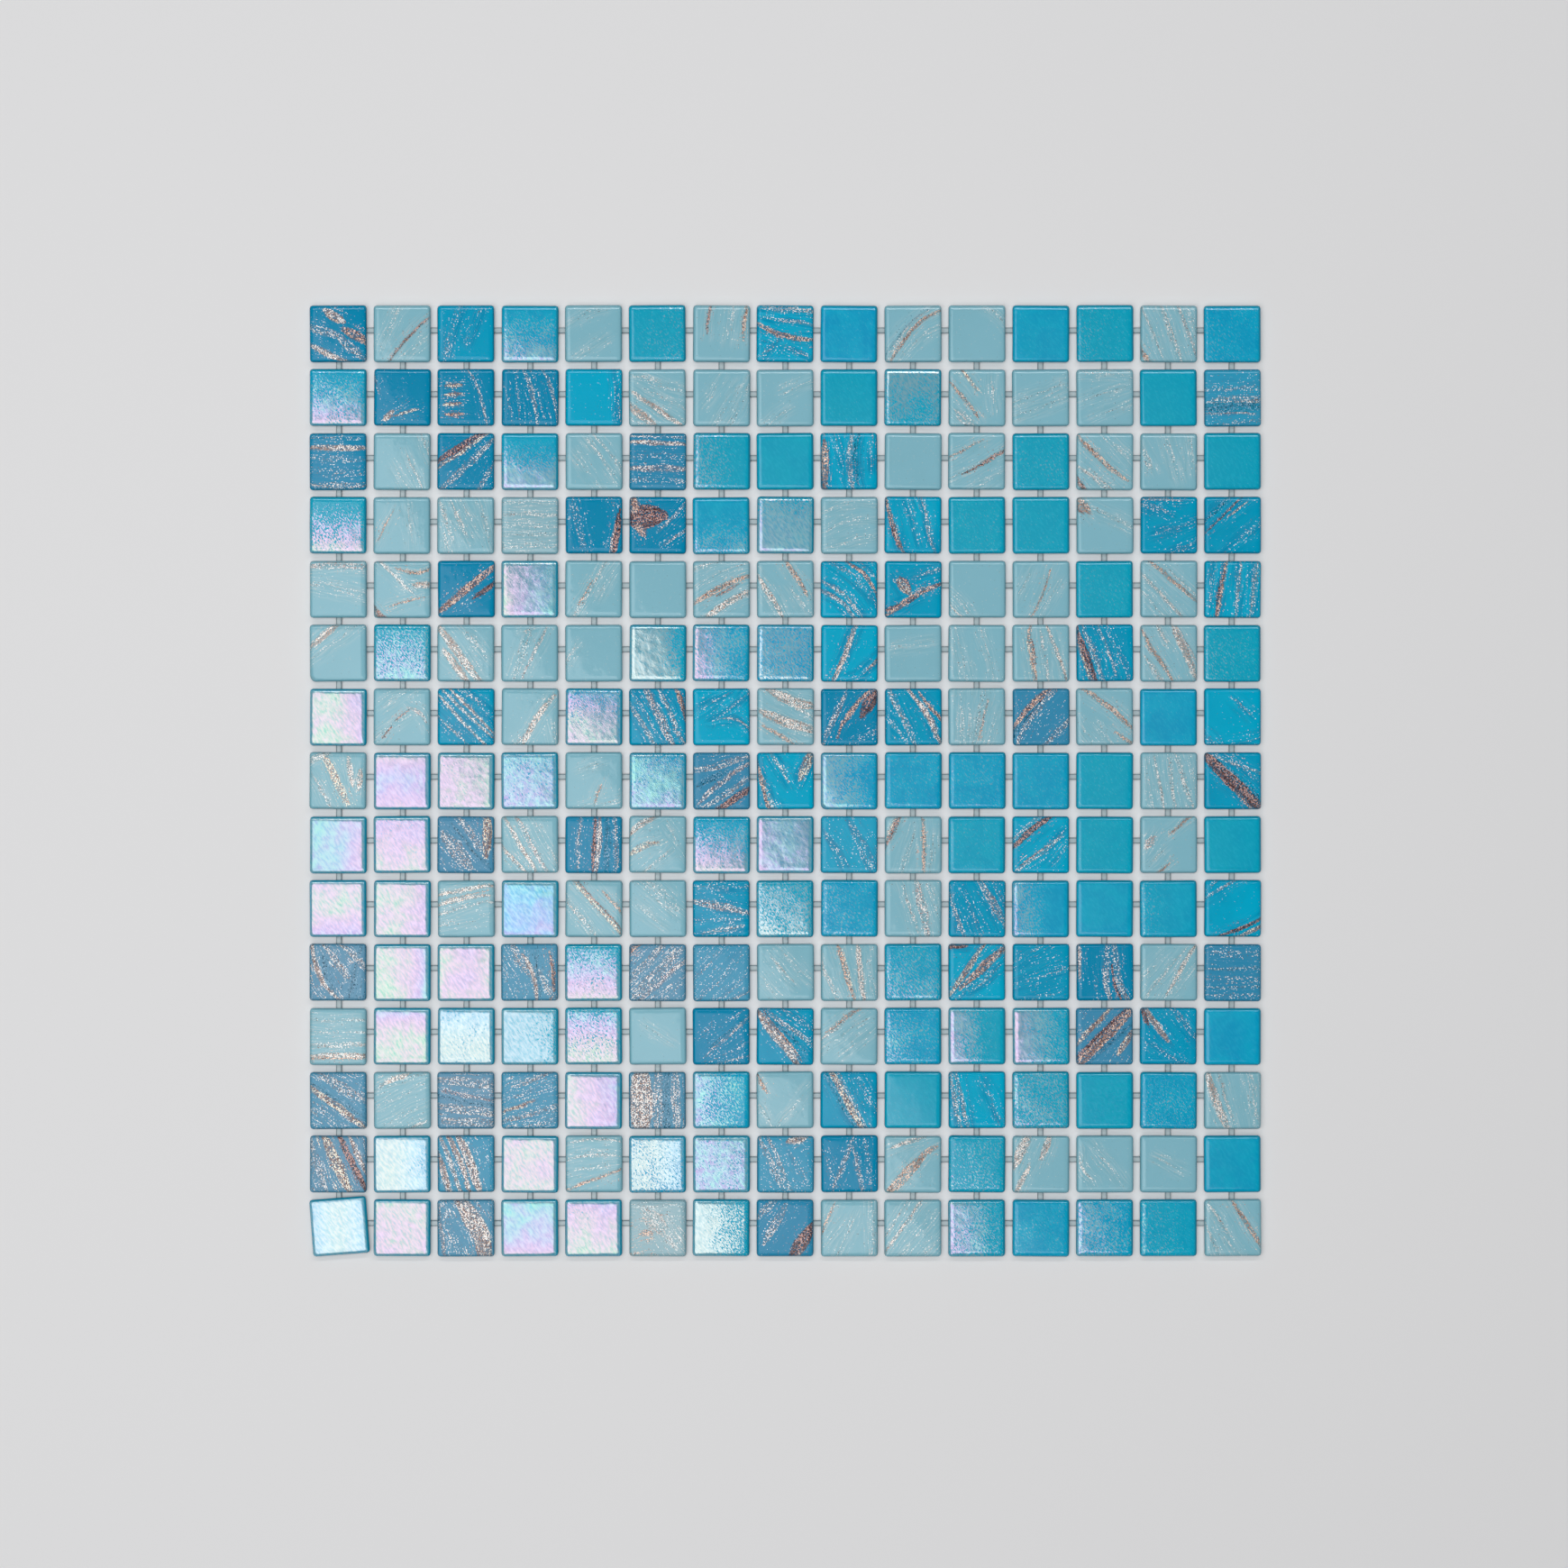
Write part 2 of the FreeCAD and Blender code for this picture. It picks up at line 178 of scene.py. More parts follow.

# %% [markdown]
# The glitter in aventurine glass is drawn out in the melt, so it lies in bands and threads that sweep across
# a tile. Which way they sweep is what makes each tile its own, so the bands are laid one by one, the way a
# painter would. A line begins with the tile's row and column. Each band is a metal tone, where the band
# starts and ends across and down the tile in percent of its side, how wide it is, and how far it bows out, in
# percent too. A tile with many bands takes two lines.

# %% The glitter bands of each tile
BANDS = """
1 1: cream 28 8 60 30 13; silver 5 40 60 56 13; silver 48 52 95 94 12; copper 58 42 97 62 13
1 1: cream 5 74 60 97 8
1 2: brown 30 97 97 27 4 5; dots 12 72 45 6 4; dots 50 97 90 60 3
1 3: dots 40 3 12 97 7; dots 78 2 55 60 3
1 5: grey 3 38 66 9 2 6; dots 20 90 70 60 2
1 7: brown 30 2 24 52 4; copper 93 2 87 62 6; dots 70 5 62 60 8
1 8: copper 2 32 96 58 7 -9; silver 5 4 96 10 9; silver 10 20 96 35 5; dots 3 96 40 62 9; dots 20 60 90 90 5
1 10: copper 16 97 96 14 6 14; dark 3 95 96 3 4 16; silver 8 97 90 6 4 15; dots 30 97 97 40 3 10
1 11: dots 70 4 97 30 6
1 14: white 5 12 40 92 2; silver 38 5 72 95 8; pink 68 2 96 82 4; copper 3 84 12 97 8; dots 80 5 95 40 9
2 2: cream 20 90 34 74 9; gold 36 82 80 70 4; silver 3 20 10 44 4; dots 40 72 56 60 5
2 3: gold 15 30 44 30 7; gold 15 46 44 45 6; gold 14 62 44 62 6; copper 16 80 46 80 6; silver 52 3 84 97 4 8
2 4: dots 24 2 34 97 5; silver 36 2 62 97 7 6; silver 70 2 96 90 5 6; dots 8 30 18 97 4; dots 52 3 80 97 3
2 5: dots 90 5 96 90 5
2 6: cream 8 42 90 97 8; dots 4 10 96 42 8; cream 4 66 42 97 12; dots 20 30 97 70 5; dots 3 85 20 97 6
2 7: grey 64 97 97 30 6; dots 20 60 50 20 2; grey 40 97 80 30 3
2 8: grey 18 96 52 70 3; dots 50 40 90 20 2
2 11: copper 4 30 50 86 5 4; silver 14 72 38 97 14; gold 24 4 50 36 5; dots 75 22 78 66 6
2 11: brown 20 78 30 96 6
2 12: grey 3 60 96 25 4; grey 3 84 97 52 3; dots 60 50 97 30 3
2 13: grey 10 55 90 30 3; dots 3 6 90 12 6; grey 30 85 90 60 2
2 15: dots 3 35 97 34 9; silver 8 58 96 56 16; pink 5 78 92 78 3; dots 30 95 97 90 6; dark 3 66 97 64 20
3 1: cream 3 26 97 27 8; dots 3 45 97 47 10; dots 3 70 97 70 12; silver 3 92 97 92 10; dots 3 8 97 8 6
3 2: silver 60 40 84 97 4; silver 84 3 97 34 3; dots 40 60 60 97 3
3 3: brown 2 52 76 2 9; gold 6 60 84 4 5; silver 10 97 97 14 9; silver 74 96 97 60 7
3 5: silver 38 10 86 76 4; silver 52 4 96 60 4; dots 20 40 60 97 3
3 6: silver 3 5 97 8 4; cream 3 15 97 20 6; pink 3 63 97 62 10; dots 3 40 97 42 10; dots 3 82 97 84 8
3 9: copper 6 28 6 97 14; dots 24 4 38 52 6; silver 60 3 58 97 10 -7; dark 70 5 66 92 8 -7
3 9: dots 90 4 88 60 5
3 11: brown 24 72 97 28 6 -4; copper 4 42 62 14 3; grey 3 80 90 40 4; dots 50 97 97 70 3
3 13: copper 6 8 90 82 7 -4; white 4 58 50 94 4; dots 54 8 92 46 5; silver 20 60 62 97 4; brown 3 84 12 97 8
3 14: dots 44 8 66 78 8; silver 4 28 20 62 4; dots 84 8 92 62 6; pink 8 50 18 62 5
4 2: copper 8 76 36 20 2; grey 60 20 70 80 3
4 3: silver 4 10 30 82 6; silver 24 8 56 72 6; grey 74 8 96 82 7; dots 40 3 76 60 4; dots 10 50 20 97 5
4 4: dots 4 7 97 10 6; silver 4 30 97 32 5; dots 4 50 97 50 6; grey 4 66 97 64 6; dots 4 86 97 84 8
4 5: dots 14 5 34 97 10; brown 94 34 84 97 11; cream 88 44 80 97 5; dots 80 4 97 30 5
4 6: copper 4 8 24 66 22; brown 2 38 60 32 34; gold 10 56 50 40 8; silver 50 62 97 14 5
4 6: silver 60 85 97 60 4
4 9: dots 6 30 90 12 3 8; dots 10 60 92 40 3 8; dots 12 88 90 70 3
4 10: copper 4 6 34 97 7 -4; silver 64 4 88 96 5; brown 8 40 26 92 4; dots 40 10 62 80 4
4 13: copper 3 4 24 28 16; grey 28 20 96 52 7; brown 3 18 14 30 7; dots 40 24 90 50 5
4 14: dots 4 12 46 30 12; dots 24 66 96 44 4; dots 60 97 97 80 7; silver 3 5 60 6 5
4 15: dark 2 42 44 3 6; brown 6 60 60 6 2; gold 40 36 76 8 2; dots 38 96 97 46 3
5 1: pink 3 8 97 10 10; dots 3 40 97 60 10
5 2: white 14 4 70 56 5; copper 40 14 95 10 5 -10; cream 70 42 97 42 9; brown 2 86 14 98 9
5 2: copper 30 80 90 62 3
5 3: copper 3 88 97 14 11; brown 20 70 90 22 5; brown 60 68 97 42 6; dots 40 80 70 60 4
5 5: silver 14 96 68 6 6 -4; copper 24 80 50 36 4; dots 60 60 90 10 2
5 7: copper 3 78 97 32 8 8; cream 30 97 97 58 10 6; silver 3 14 36 5 4; dots 6 50 96 10 4 8
5 7: brown 40 60 80 42 4
5 8: cream 2 30 42 97 7 4; copper 54 3 88 62 7; white 8 42 38 90 3; dots 60 50 97 97 4
5 9: copper 44 3 97 62 5 10; dots 14 5 96 82 9 14; silver 4 40 66 96 7 10; pink 3 56 54 97 7 8
5 9: dots 70 3 97 30 6
5 10: copper 3 97 97 42 8 6; gold 24 34 44 56 16; brown 3 86 60 62 6; silver 50 26 95 14 3
5 10: brown 28 30 44 46 8
5 11: white 4 78 22 97 3; dots 3 60 36 97 3 5
5 12: copper 30 97 66 18 3 -5; grey 10 60 30 20 2; dots 50 90 80 40 2
5 14: copper 18 3 96 70 6; white 3 24 68 96 5; silver 40 8 97 60 3; dots 3 50 40 97 5
5 15: copper 38 4 22 97 7; brown 33 20 20 97 5; dots 20 5 9 80 7; silver 65 4 55 97 6; silver 92 4 82 97 8
6 1: cream 4 38 46 3 10; dots 4 60 80 5 3
6 3: cream 3 6 74 97 12; cream 12 46 52 97 11; dots 40 4 90 60 8
6 4: grey 52 8 22 92 14; pink 78 8 36 92 5; silver 40 12 56 10 5
6 5: dots 3 60 20 40 10
6 9: cream 64 2 24 97 5; copper 58 6 20 97 3; dots 60 96 92 64 4; copper 80 78 97 62 4; dots 40 97 70 90 4
6 10: dots 20 40 80 30 2
6 11: dots 5 15 26 92 3; dots 12 5 36 92 3; dots 60 20 80 92 2
6 12: copper 34 3 42 97 6 -5; gold 28 30 36 97 4; silver 50 10 62 97 6; cream 60 2 94 97 5
6 12: brown 36 30 40 70 3
6 13: brown 2 12 32 97 9; silver 12 4 46 96 8; silver 40 4 70 92 5; dots 56 8 90 96 7; gold 3 30 24 97 4
6 14: cream 58 3 96 86 10; copper 3 12 56 96 6; white 30 3 48 32 5; silver 10 54 36 97 8; pink 64 3 96 60 3
7 2: grey 5 85 60 45 5; brown 18 88 66 36 3 4; pink 62 34 92 62 5 6; dots 20 30 60 5 3
7 3: white 3 14 82 97 5; white 10 4 96 86 4; cream 24 3 96 76 4; silver 4 54 52 97 4; dots 40 3 97 50 8
7 4: cream 42 98 92 12 9 6; pink 30 97 60 60 4; dots 90 60 97 97 8
7 6: silver 3 30 45 97 8; pink 30 3 75 97 12; silver 52 3 95 97 8; copper 85 3 97 45 8; dots 5 5 60 97 6
7 7: dots 95 3 34 56 5 6; silver 34 58 96 80 4 16; dots 10 40 60 10 4
7 8: cream 24 2 97 30 14 -6; cream 8 40 97 72 15 -4; copper 10 64 62 97 5; white 30 10 97 50 4
7 8: copper 40 54 92 70 4
7 9: copper 30 86 96 5 6 12; silver 4 95 46 8 9; brown 70 48 94 14 16; gold 78 40 92 20 7
7 9: dots 50 97 97 74 8
7 10: cream 40 3 97 96 8 6; dark 48 4 97 84 5; copper 60 8 97 52 6; silver 8 4 52 96 8; dots 4 50 40 97 8
7 11: dots 22 3 24 97 4; grey 64 4 46 97 9; copper 70 20 54 90 3; dots 40 3 34 97 3; dots 84 40 70 97 4
7 12: copper 3 72 62 4 10 5; silver 10 97 76 3 9 8; dark 3 86 66 10 8 6; silver 60 97 97 58 10
7 12: brown 20 60 56 14 6
7 13: copper 12 3 97 70 7 4; white 20 8 90 64 3 4; copper 70 76 96 97 5; grey 40 70 60 97 3
7 13: dots 3 60 30 97 3
7 15: silver 52 20 80 46 2; dots 3 86 16 97 8; dots 60 94 97 86 3
8 1: gold 26 4 68 92 11; white 4 14 24 6 10; cream 68 8 76 60 7; cream 90 30 86 66 9; silver 5 40 40 97 5
8 5: copper 50 92 64 58 3; dots 40 97 90 84 4; grey 30 30 60 20 3
8 7: silver 5 32 95 10 10; pink 10 90 95 25 8 6; silver 20 97 97 48 8; dark 8 58 60 30 10
8 7: brown 50 97 97 66 10
8 8: gold 76 48 96 3 14; copper 3 28 22 97 8; silver 30 4 56 52 6; brown 84 30 96 6 5; silver 8 50 30 97 8
8 14: white 24 8 40 97 4; silver 50 8 60 97 6; silver 62 4 90 96 7; dots 10 20 20 97 5; dots 84 10 96 60 4
8 15: brown 3 6 97 96 20; silver 10 3 96 36 5; dark 20 10 97 80 6; copper 20 30 80 97 4; dots 40 3 97 50 5
9 3: silver 10 30 60 90 22; dark 24 14 92 92 5; gold 88 6 86 72 13; cream 92 10 88 60 6
9 3: silver 40 6 80 60 10
9 4: cream 8 5 60 97 6; pink 28 3 80 97 7; cream 3 55 40 97 5; dots 55 5 97 80 5
9 5: cream 60 3 56 97 7; brown 52 3 50 97 5; dark 74 3 73 97 9; silver 27 3 22 97 6; silver 88 3 90 97 6
9 6: cream 3 34 44 4 9 5; gold 3 68 52 46 8 5; silver 30 95 70 60 4; dots 70 20 97 60 5
9 9: dots 50 10 90 90 14; dots 10 30 40 90 8
9 10: brown 2 46 26 2 8; copper 66 3 70 97 6; gold 3 36 20 4 4; grey 30 97 52 20 6; grey 80 97 84 30 5
9 12: brown 3 52 62 3 9; silver 10 95 86 34 7; copper 14 88 70 44 4; silver 3 40 40 6 5; dots 70 80 97 50 5
9 14: pink 10 56 22 36 12; copper 50 30 86 3 4; copper 34 97 50 84 4; grey 20 80 40 60 3
10 3: cream 3 27 97 12 6 4; cream 3 45 92 27 6 5; silver 3 62 96 40 6 5; dots 3 80 80 66 5
10 3: copper 10 34 90 18 2
10 5: gold 18 4 96 90 6; brown 26 6 98 84 3; silver 3 36 52 97 7; copper 66 20 97 55 4
10 6: dots 28 4 86 52 20; grey 10 40 60 80 4
10 7: pink 3 36 95 56 11; silver 15 92 90 80 8; dots 3 10 97 12 10; dots 10 70 90 66 6
10 10: pink 56 4 76 96 12; silver 30 8 62 97 5; dots 75 5 95 60 8
10 11: silver 56 3 97 76 10; pink 62 3 97 66 4; silver 4 30 26 97 6; dots 20 10 60 97 5; dots 80 3 97 40 8
10 15: brown 34 97 97 68 5; gold 64 97 97 82 6; silver 4 30 50 3 3; dots 3 20 20 3 5
11 1: cream 10 3 54 96 7 -14; dark 30 28 46 96 4 -6; silver 30 6 70 60 8; dark 92 8 68 96 4
11 1: silver 60 4 96 40 8
11 4: cream 36 18 60 96 7 8; copper 84 14 84 96 6 10; silver 20 4 50 60 9; dark 60 10 70 90 6
11 4: silver 60 40 97 97 10
11 6: silver 10 90 92 10 16; pink 20 97 97 30 8; copper 3 10 12 3 8; silver 3 60 60 3 12
11 6: dots 50 97 97 60 14
11 7: dots 14 96 86 20 5; dots 50 96 92 50 4; dots 4 60 50 10 6; silver 70 97 97 84 4
11 8: white 24 24 62 66 2; dots 40 10 90 60 3; dots 10 60 40 92 2
11 9: copper 30 4 58 96 7; gold 36 10 60 90 3; cream 64 3 76 96 8; silver 4 40 28 97 6; dots 84 10 92 90 4
11 11: gold 6 84 62 4 8; copper 20 80 97 8 12; grey 36 84 90 40 7; dots 12 97 60 50 5; brown 3 4 20 3 10
11 12: dots 3 32 50 4 4; dots 5 72 97 42 4; dots 30 98 85 84 3; dots 10 50 70 24 2
11 13: cream 2 4 5 45 7; silver 58 3 60 97 10 -8; silver 72 5 92 95 11 -12; brown 66 8 82 97 4 -10
11 13: dots 34 70 36 97 3
11 14: cream 96 4 44 92 5; silver 8 92 82 8 4; dots 40 97 90 40 4; dots 3 60 40 20 3
11 15: dots 3 14 97 18 12; grey 3 42 97 42 5; dots 3 60 97 62 12; grey 3 76 97 74 5; dots 3 90 97 90 8
12 1: cream 3 84 97 82 8; copper 3 88 97 86 4; silver 3 64 97 64 8; dots 3 40 97 42 4; grey 3 20 97 20 6
12 6: grey 30 30 70 60 2
12 7: silver 20 86 96 20 5; dots 10 50 92 5 3; dots 30 97 97 60 5; silver 50 97 97 84 3; dark 30 70 90 20 4
12 8: cream 3 8 72 97 12; copper 12 4 80 92 4; silver 14 4 96 62 8; dark 12 3 90 80 5; dots 50 3 97 40 8
12 9: copper 10 42 62 5 6; pink 6 50 50 16 5; grey 3 70 80 20 3; dots 40 80 90 40 3
12 13: copper 5 97 96 4 16; brown 3 86 86 3 7; gold 4 60 56 4 7; gold 74 82 96 48 9; dark 20 97 97 30 6
12 14: brown 4 4 14 30 8; cream 10 3 48 60 10; dots 60 5 97 50 10; dots 10 60 70 97 4
12 15: dots 10 10 40 30 3
13 1: gold 3 28 97 96 10; cream 8 36 92 97 4; silver 20 4 96 50 14; dark 3 20 97 80 4; dots 3 60 50 90 22
13 2: dots 4 60 90 20 4; dots 20 90 90 56 5; grey 3 30 90 4 6; cream 10 24 56 6 8; white 73 96 91 88 4
13 3: pink 8 34 97 50 5; silver 4 14 97 24 14; silver 3 60 97 72 14; dark 4 44 97 60 5
13 3: silver 10 86 97 90 14
13 4: silver 4 86 97 60 8; gold 3 70 60 50 4; silver 20 26 80 4 9; dots 3 50 90 20 6; dots 30 97 97 80 14
13 6: cream 22 3 22 97 34; silver 48 3 48 97 10; dark 66 3 66 97 14; silver 82 3 84 97 14
13 6: silver 57 3 57 97 6
13 8: copper 3 10 20 36 6; grey 5 60 30 97 4; dots 40 90 90 30 3
13 9: gold 20 3 70 97 12; silver 30 3 78 97 7; dark 10 3 60 97 8; copper 26 10 60 86 4; dots 60 3 96 60 8
13 11: silver 3 3 20 95 8; silver 12 3 34 97 6; dots 60 20 90 80 4
13 15: cream 5 4 38 97 12; silver 25 4 52 90 5; dots 80 5 95 90 10
14 1: gold 25 3 70 97 14; silver 5 20 30 97 8; brown 50 3 97 90 9; cream 70 3 97 60 7; dots 3 50 20 97 8
14 3: white 5 3 42 97 7; cream 36 2 72 97 13 4; cream 3 40 22 97 9; cream 18 3 56 97 9 4; dots 30 40 60 97 6
14 5: copper 4 94 96 60 4; silver 3 15 96 12 4 6; silver 3 42 96 38 4 6; dots 3 64 90 50 4
14 5: dots 20 30 80 26 4
14 8: silver 5 8 50 96 9; silver 20 4 60 96 7; cream 56 10 76 4 14; dark 30 30 60 96 5; dots 60 30 90 90 8
14 9: silver 20 96 56 6 7; silver 54 8 72 96 7; dots 78 4 88 96 8; cream 30 70 52 14 4; dots 4 30 30 90 7
14 10: copper 10 97 72 30 15; brown 16 92 60 46 7; copper 60 36 92 18 8; cream 10 20 62 4 6
14 10: gold 14 97 50 60 6
14 12: cream 6 48 24 4 14; cream 50 40 64 2 9; cream 8 97 30 52 7
14 13: white 8 28 30 76 3 -8; dots 30 20 80 80 3
14 14: grey 30 40 70 60 2
15 3: cream 37 3 82 97 26 10; copper 30 3 70 97 5 10; gold 47 3 92 97 7 10; dots 12 30 40 97 14
15 3: pink 4 20 12 97 6
15 6: silver 30 20 60 60 26; copper 26 34 56 28 9; copper 20 62 44 56 8; dots 60 50 90 90 12
15 6: grey 10 10 70 12 6
15 8: brown 66 94 94 52 18; gold 72 96 92 66 7; silver 52 8 14 78 12; dark 80 60 96 50 8
15 8: silver 4 30 30 4 10
15 9: copper 5 50 22 10 4; dots 88 5 92 96 8; grey 30 97 60 30 4; dots 10 80 40 40 3
15 10: cream 3 90 62 6 4; dots 30 97 86 28 5; dots 70 97 96 68 4; silver 3 60 40 6 3
15 15: copper 50 6 96 76 7; cream 54 14 90 70 3; silver 8 8 42 66 5; silver 4 48 26 97 4; dots 30 60 60 97 4
"""


def read_table(text):
    """A dictionary from (row, column) to the entries of that tile's lines."""
    table = {}
    for line in text.strip().splitlines():
        place, entries = line.split(": ")
        cell = tuple(int(number) for number in place.split())
        table.setdefault(cell, []).extend(entries.split("; "))
    return table


BANDS_BY_TILE = read_table(BANDS)
print("bands laid:", sum(len(bands) for bands in BANDS_BY_TILE.values()))

# %% [markdown]
# The metals themselves: copper crystals read from dark brown to pale cream as they turn to the light, and the
# silver ones from grey to white. Each band is painted in one of these tones, so a band's tone is partly its
# metal and partly painted light and shade. The number after a tone says how closely a band of it is packed:
# near one is solid metal, and a small one leaves single glittering dots. A tile may also sparkle all over, by
# a share of one. The turquoise glass was melted in batches, so some tiles are deeper and some brighter than
# the rest.

# %% Metal tones and batches of glass
TONES = {
    "copper": ("#C08A70", 0.80), "brown": ("#864C34", 0.90), "gold": ("#DAB09A", 0.80),
    "cream": ("#EAD0C2", 0.85), "silver": ("#D2C8C4", 0.50), "white": ("#ECEAE8", 0.75),
    "pink": ("#D2B6B2", 0.65), "grey": ("#98A2A4", 0.35), "dots": ("#CCCACA", 0.20),
    "dark": ("#0A6080", 0.50),
}
SPARKLE_BY_TILE = {
    (2, 15): 0.25, (3, 1): 0.05, (3, 6): 0.2, (4, 4): 0.4, (7, 12): 0.3, (8, 7): 0.35, (9, 3): 0.6,
    (9, 5): 0.1, (9, 9): 0.2, (11, 1): 1.0, (11, 4): 0.7, (11, 6): 0.9, (11, 7): 0.5, (11, 15): 0.25,
    (12, 13): 0.4, (13, 1): 0.8, (13, 3): 1.0, (13, 4): 0.6, (13, 6): 0.8, (14, 1): 1.0, (14, 3): 0.5,
    (14, 8): 0.4, (15, 3): 0.8, (15, 6): 0.8, (15, 8): 0.2,
}
DEEP_BATCH = [
    (1, 1), (2, 2), (2, 3), (2, 4), (3, 1), (3, 3), (3, 6), (4, 5), (4, 6), (5, 3), (7, 9), (7, 12), (8, 7),
    (9, 3), (9, 5), (11, 13), (11, 15), (12, 7), (12, 13), (14, 9), (15, 8),
]
BRIGHT_BATCH = [
    (1, 8), (2, 5), (3, 9), (4, 10), (5, 9), (5, 15), (6, 9), (7, 15), (7, 7), (8, 8), (9, 9), (9, 12),
    (10, 15), (11, 11), (13, 11),
]
USUAL_DEPTH = 0.4


def depth_of(cell):
    """How deep the turquoise of a tile's batch of glass is, from nought to one."""
    return 1.0 if cell in DEEP_BATCH else 0.0 if cell in BRIGHT_BATCH else USUAL_DEPTH


print("deep tiles:", len(DEEP_BATCH), "bright tiles:", len(BRIGHT_BATCH))

# %% [markdown]
# A shader works in millimetres from the middle of the tile, so each band is turned from percent
# to that. A band that comes close to the rim runs on over it, because real ones don't stop short.

# %% The bands in millimetres
MOST_BANDS = 5
RUN_OUT = 2.5
CLOSE_TO_RIM = 0.86 * HALF_MM
NO_BAND = ((200.0, 200.0, 0.0), (201.0, 200.0, 0.0), (0.0, 0.0, 0.0, 0.0))


def face_point(across, down):
    """A place on the tile in percent of its side, as millimetres from its centre."""
    return np.array([(across / 100 - 0.5) * SIDE_MM, (0.5 - down / 100) * SIDE_MM])


def parse_band(text):
    """Start and bow, end and width, and tone and density of one band, in millimetres."""
    tone, *numbers = text.split()
    x0, y0, x1, y1, width, *bow = [float(number) for number in numbers]
    start, end = face_point(x0, y0), face_point(x1, y1)
    way = (end - start) / np.linalg.norm(end - start)
    if max(abs(start)) > CLOSE_TO_RIM:
        start = start - way * RUN_OUT
    if max(abs(end)) > CLOSE_TO_RIM:
        end = end + way * RUN_OUT
    colour, density = TONES[tone]
    bow_mm = (bow[0] if bow else 0) / 100 * SIDE_MM
    return (*start, bow_mm), (*end, width / 100 * SIDE_MM), (*linear(colour)[:3], density)


def bands_of(cell):
    """All the bands of a tile, filled up with empty ones."""
    found = [parse_band(text) for text in BANDS_BY_TILE.get(cell, [])]
    return (found + [NO_BAND] * MOST_BANDS)[:MOST_BANDS]


print("first band of the first tile:", [round(float(part), 2) for part in bands_of((1, 1))[0][0]])

# %% [markdown]
# The pearl film is a layer of metal oxide up to a few hundred nanometres thick. Its thickness sets
# which colours it reflects, the way a soap bubble's does. The thinnest film is silvery. A thicker
# one runs through blue and cyan to green, and then through straw, white, pink and lilac back to
# ice blue and aqua. It was sprayed on as a mist of fine grains, so it drifts from one side of a
# tile to the other, and where the mist was thin the teal glass shows between the grains. Each tile
# gets its first hue and its last hue, with a third one between them where the middle of the tile
# got more or less of the mist, the way it drifts, and how much of the glass is covered at its
# first and at its last edge, in percent. Under nought or over a hundred, the film begins or is
# full some way in from that edge. The pearl tiles that aren't listed are bare.
# The covers rise towards the lower left of the sheet, where the soft box is mirrored, so the cover's drift
# partly stands for that light as well as for the mist, and the milk it brings is painted sheen.

# %% The film's drift on each pearl tile
FILM_NM = {
    "faint": 29, "silvery": 73, "blue": 274, "cyan": 296, "straw": 359, "white": 362, "pink": 367,
    "lilac": 378, "periwinkle": 399, "ice": 416, "aqua": 427,
}
BARE = ["ice ice right 0 0"]
FILMS = """
1 4: aqua ice down 0 78
1 6: ice ice right 3 25
1 9: ice ice right 3 6
1 12: ice ice down 3 5
1 13: ice ice right 25 3
1 15: ice ice right 20 8
2 1: ice ice pink down 10 80
2 9: ice ice right 5 3
2 10: silvery faint down 80 30
2 14: ice ice right 3 3
3 4: ice ice down -8 105
3 7: ice ice right 50 0
3 12: ice ice down 12 15
3 15: ice ice right 2 5
4 1: ice periwinkle white down 0 85
4 7: aqua ice down -10 50
4 8: ice ice down 55 110
4 11: ice ice right 10 14
4 12: ice ice right 8 5
5 4: straw periwinkle aqua right 100 75
5 13: ice ice right 12 8
6 2: aqua ice aqua down 28 74
6 6: silvery silvery right 150 20
6 7: pink ice aqua right 76 24
6 8: faint silvery down 62 52
6 15: ice ice right 22 10
7 1: white white periwinkle right 98 92
7 5: aqua pink pink down 55 100
7 14: ice ice right 6 4
8 2: straw periwinkle lilac down 97 96
8 3: lilac pink straw right 86 90
8 4: aqua ice ice down 64 82
8 6: aqua aqua ice down 60 85
8 9: aqua aqua ice right 85 12
8 10: ice ice down 15 14
8 11: ice ice right 12 18
8 12: ice ice down 12 12
8 13: ice ice right 8 5
9 1: aqua ice lilac right 96 94
9 2: periwinkle lilac straw down 82 92
9 7: ice periwinkle white down 18 92
9 8: lilac ice lilac right 86 88
9 11: ice ice down 12 8
9 13: ice ice right 6 4
10 1: lilac white ice down 98 94
10 2: straw pink periwinkle right 98 94
10 4: cyan blue down 85 100
10 8: faint silvery down 35 60
10 9: faint faint right 28 15
10 12: ice ice right 65 -25
10 14: aqua ice right 25 -15
11 2: straw pink aqua right 100 95
11 3: straw lilac straw right 100 100
11 5: ice periwinkle straw down 30 92
11 10: ice ice down 22 42
12 2: aqua straw pink down 98 100
12 3: faint silvery silvery down 80 84
12 4: faint faint right 94 60
12 5: aqua lilac straw down 44 90
12 10: ice aqua right 35 18
12 11: periwinkle ice right 85 -10
12 12: lilac ice aqua right 95 20
13 5: straw lilac ice right 100 88
13 7: ice aqua aqua right 76 12
13 10: ice ice right 6 2
13 12: ice ice right 46 36
13 14: ice ice down 15 24
14 2: silvery silvery faint right 108 70
14 4: straw pink straw down 100 100
14 6: silvery silvery faint right 70 64
14 7: ice ice right 78 68
14 11: ice ice down 18 24
15 1: faint silvery faint right 90 92
15 2: white pink lilac down 98 98
15 4: aqua ice lilac down 92 100
15 5: periwinkle pink straw down 84 96
15 7: silvery silvery right 104 22
15 11: periwinkle aqua right 74 20
15 12: ice ice right 12 14
15 13: ice ice right 62 20
15 14: aqua ice right 30 5
"""
FILM_BY_TILE = read_table(FILMS)
DRIFT_WAYS = {"right": (1, 0), "down": (0, -1)}


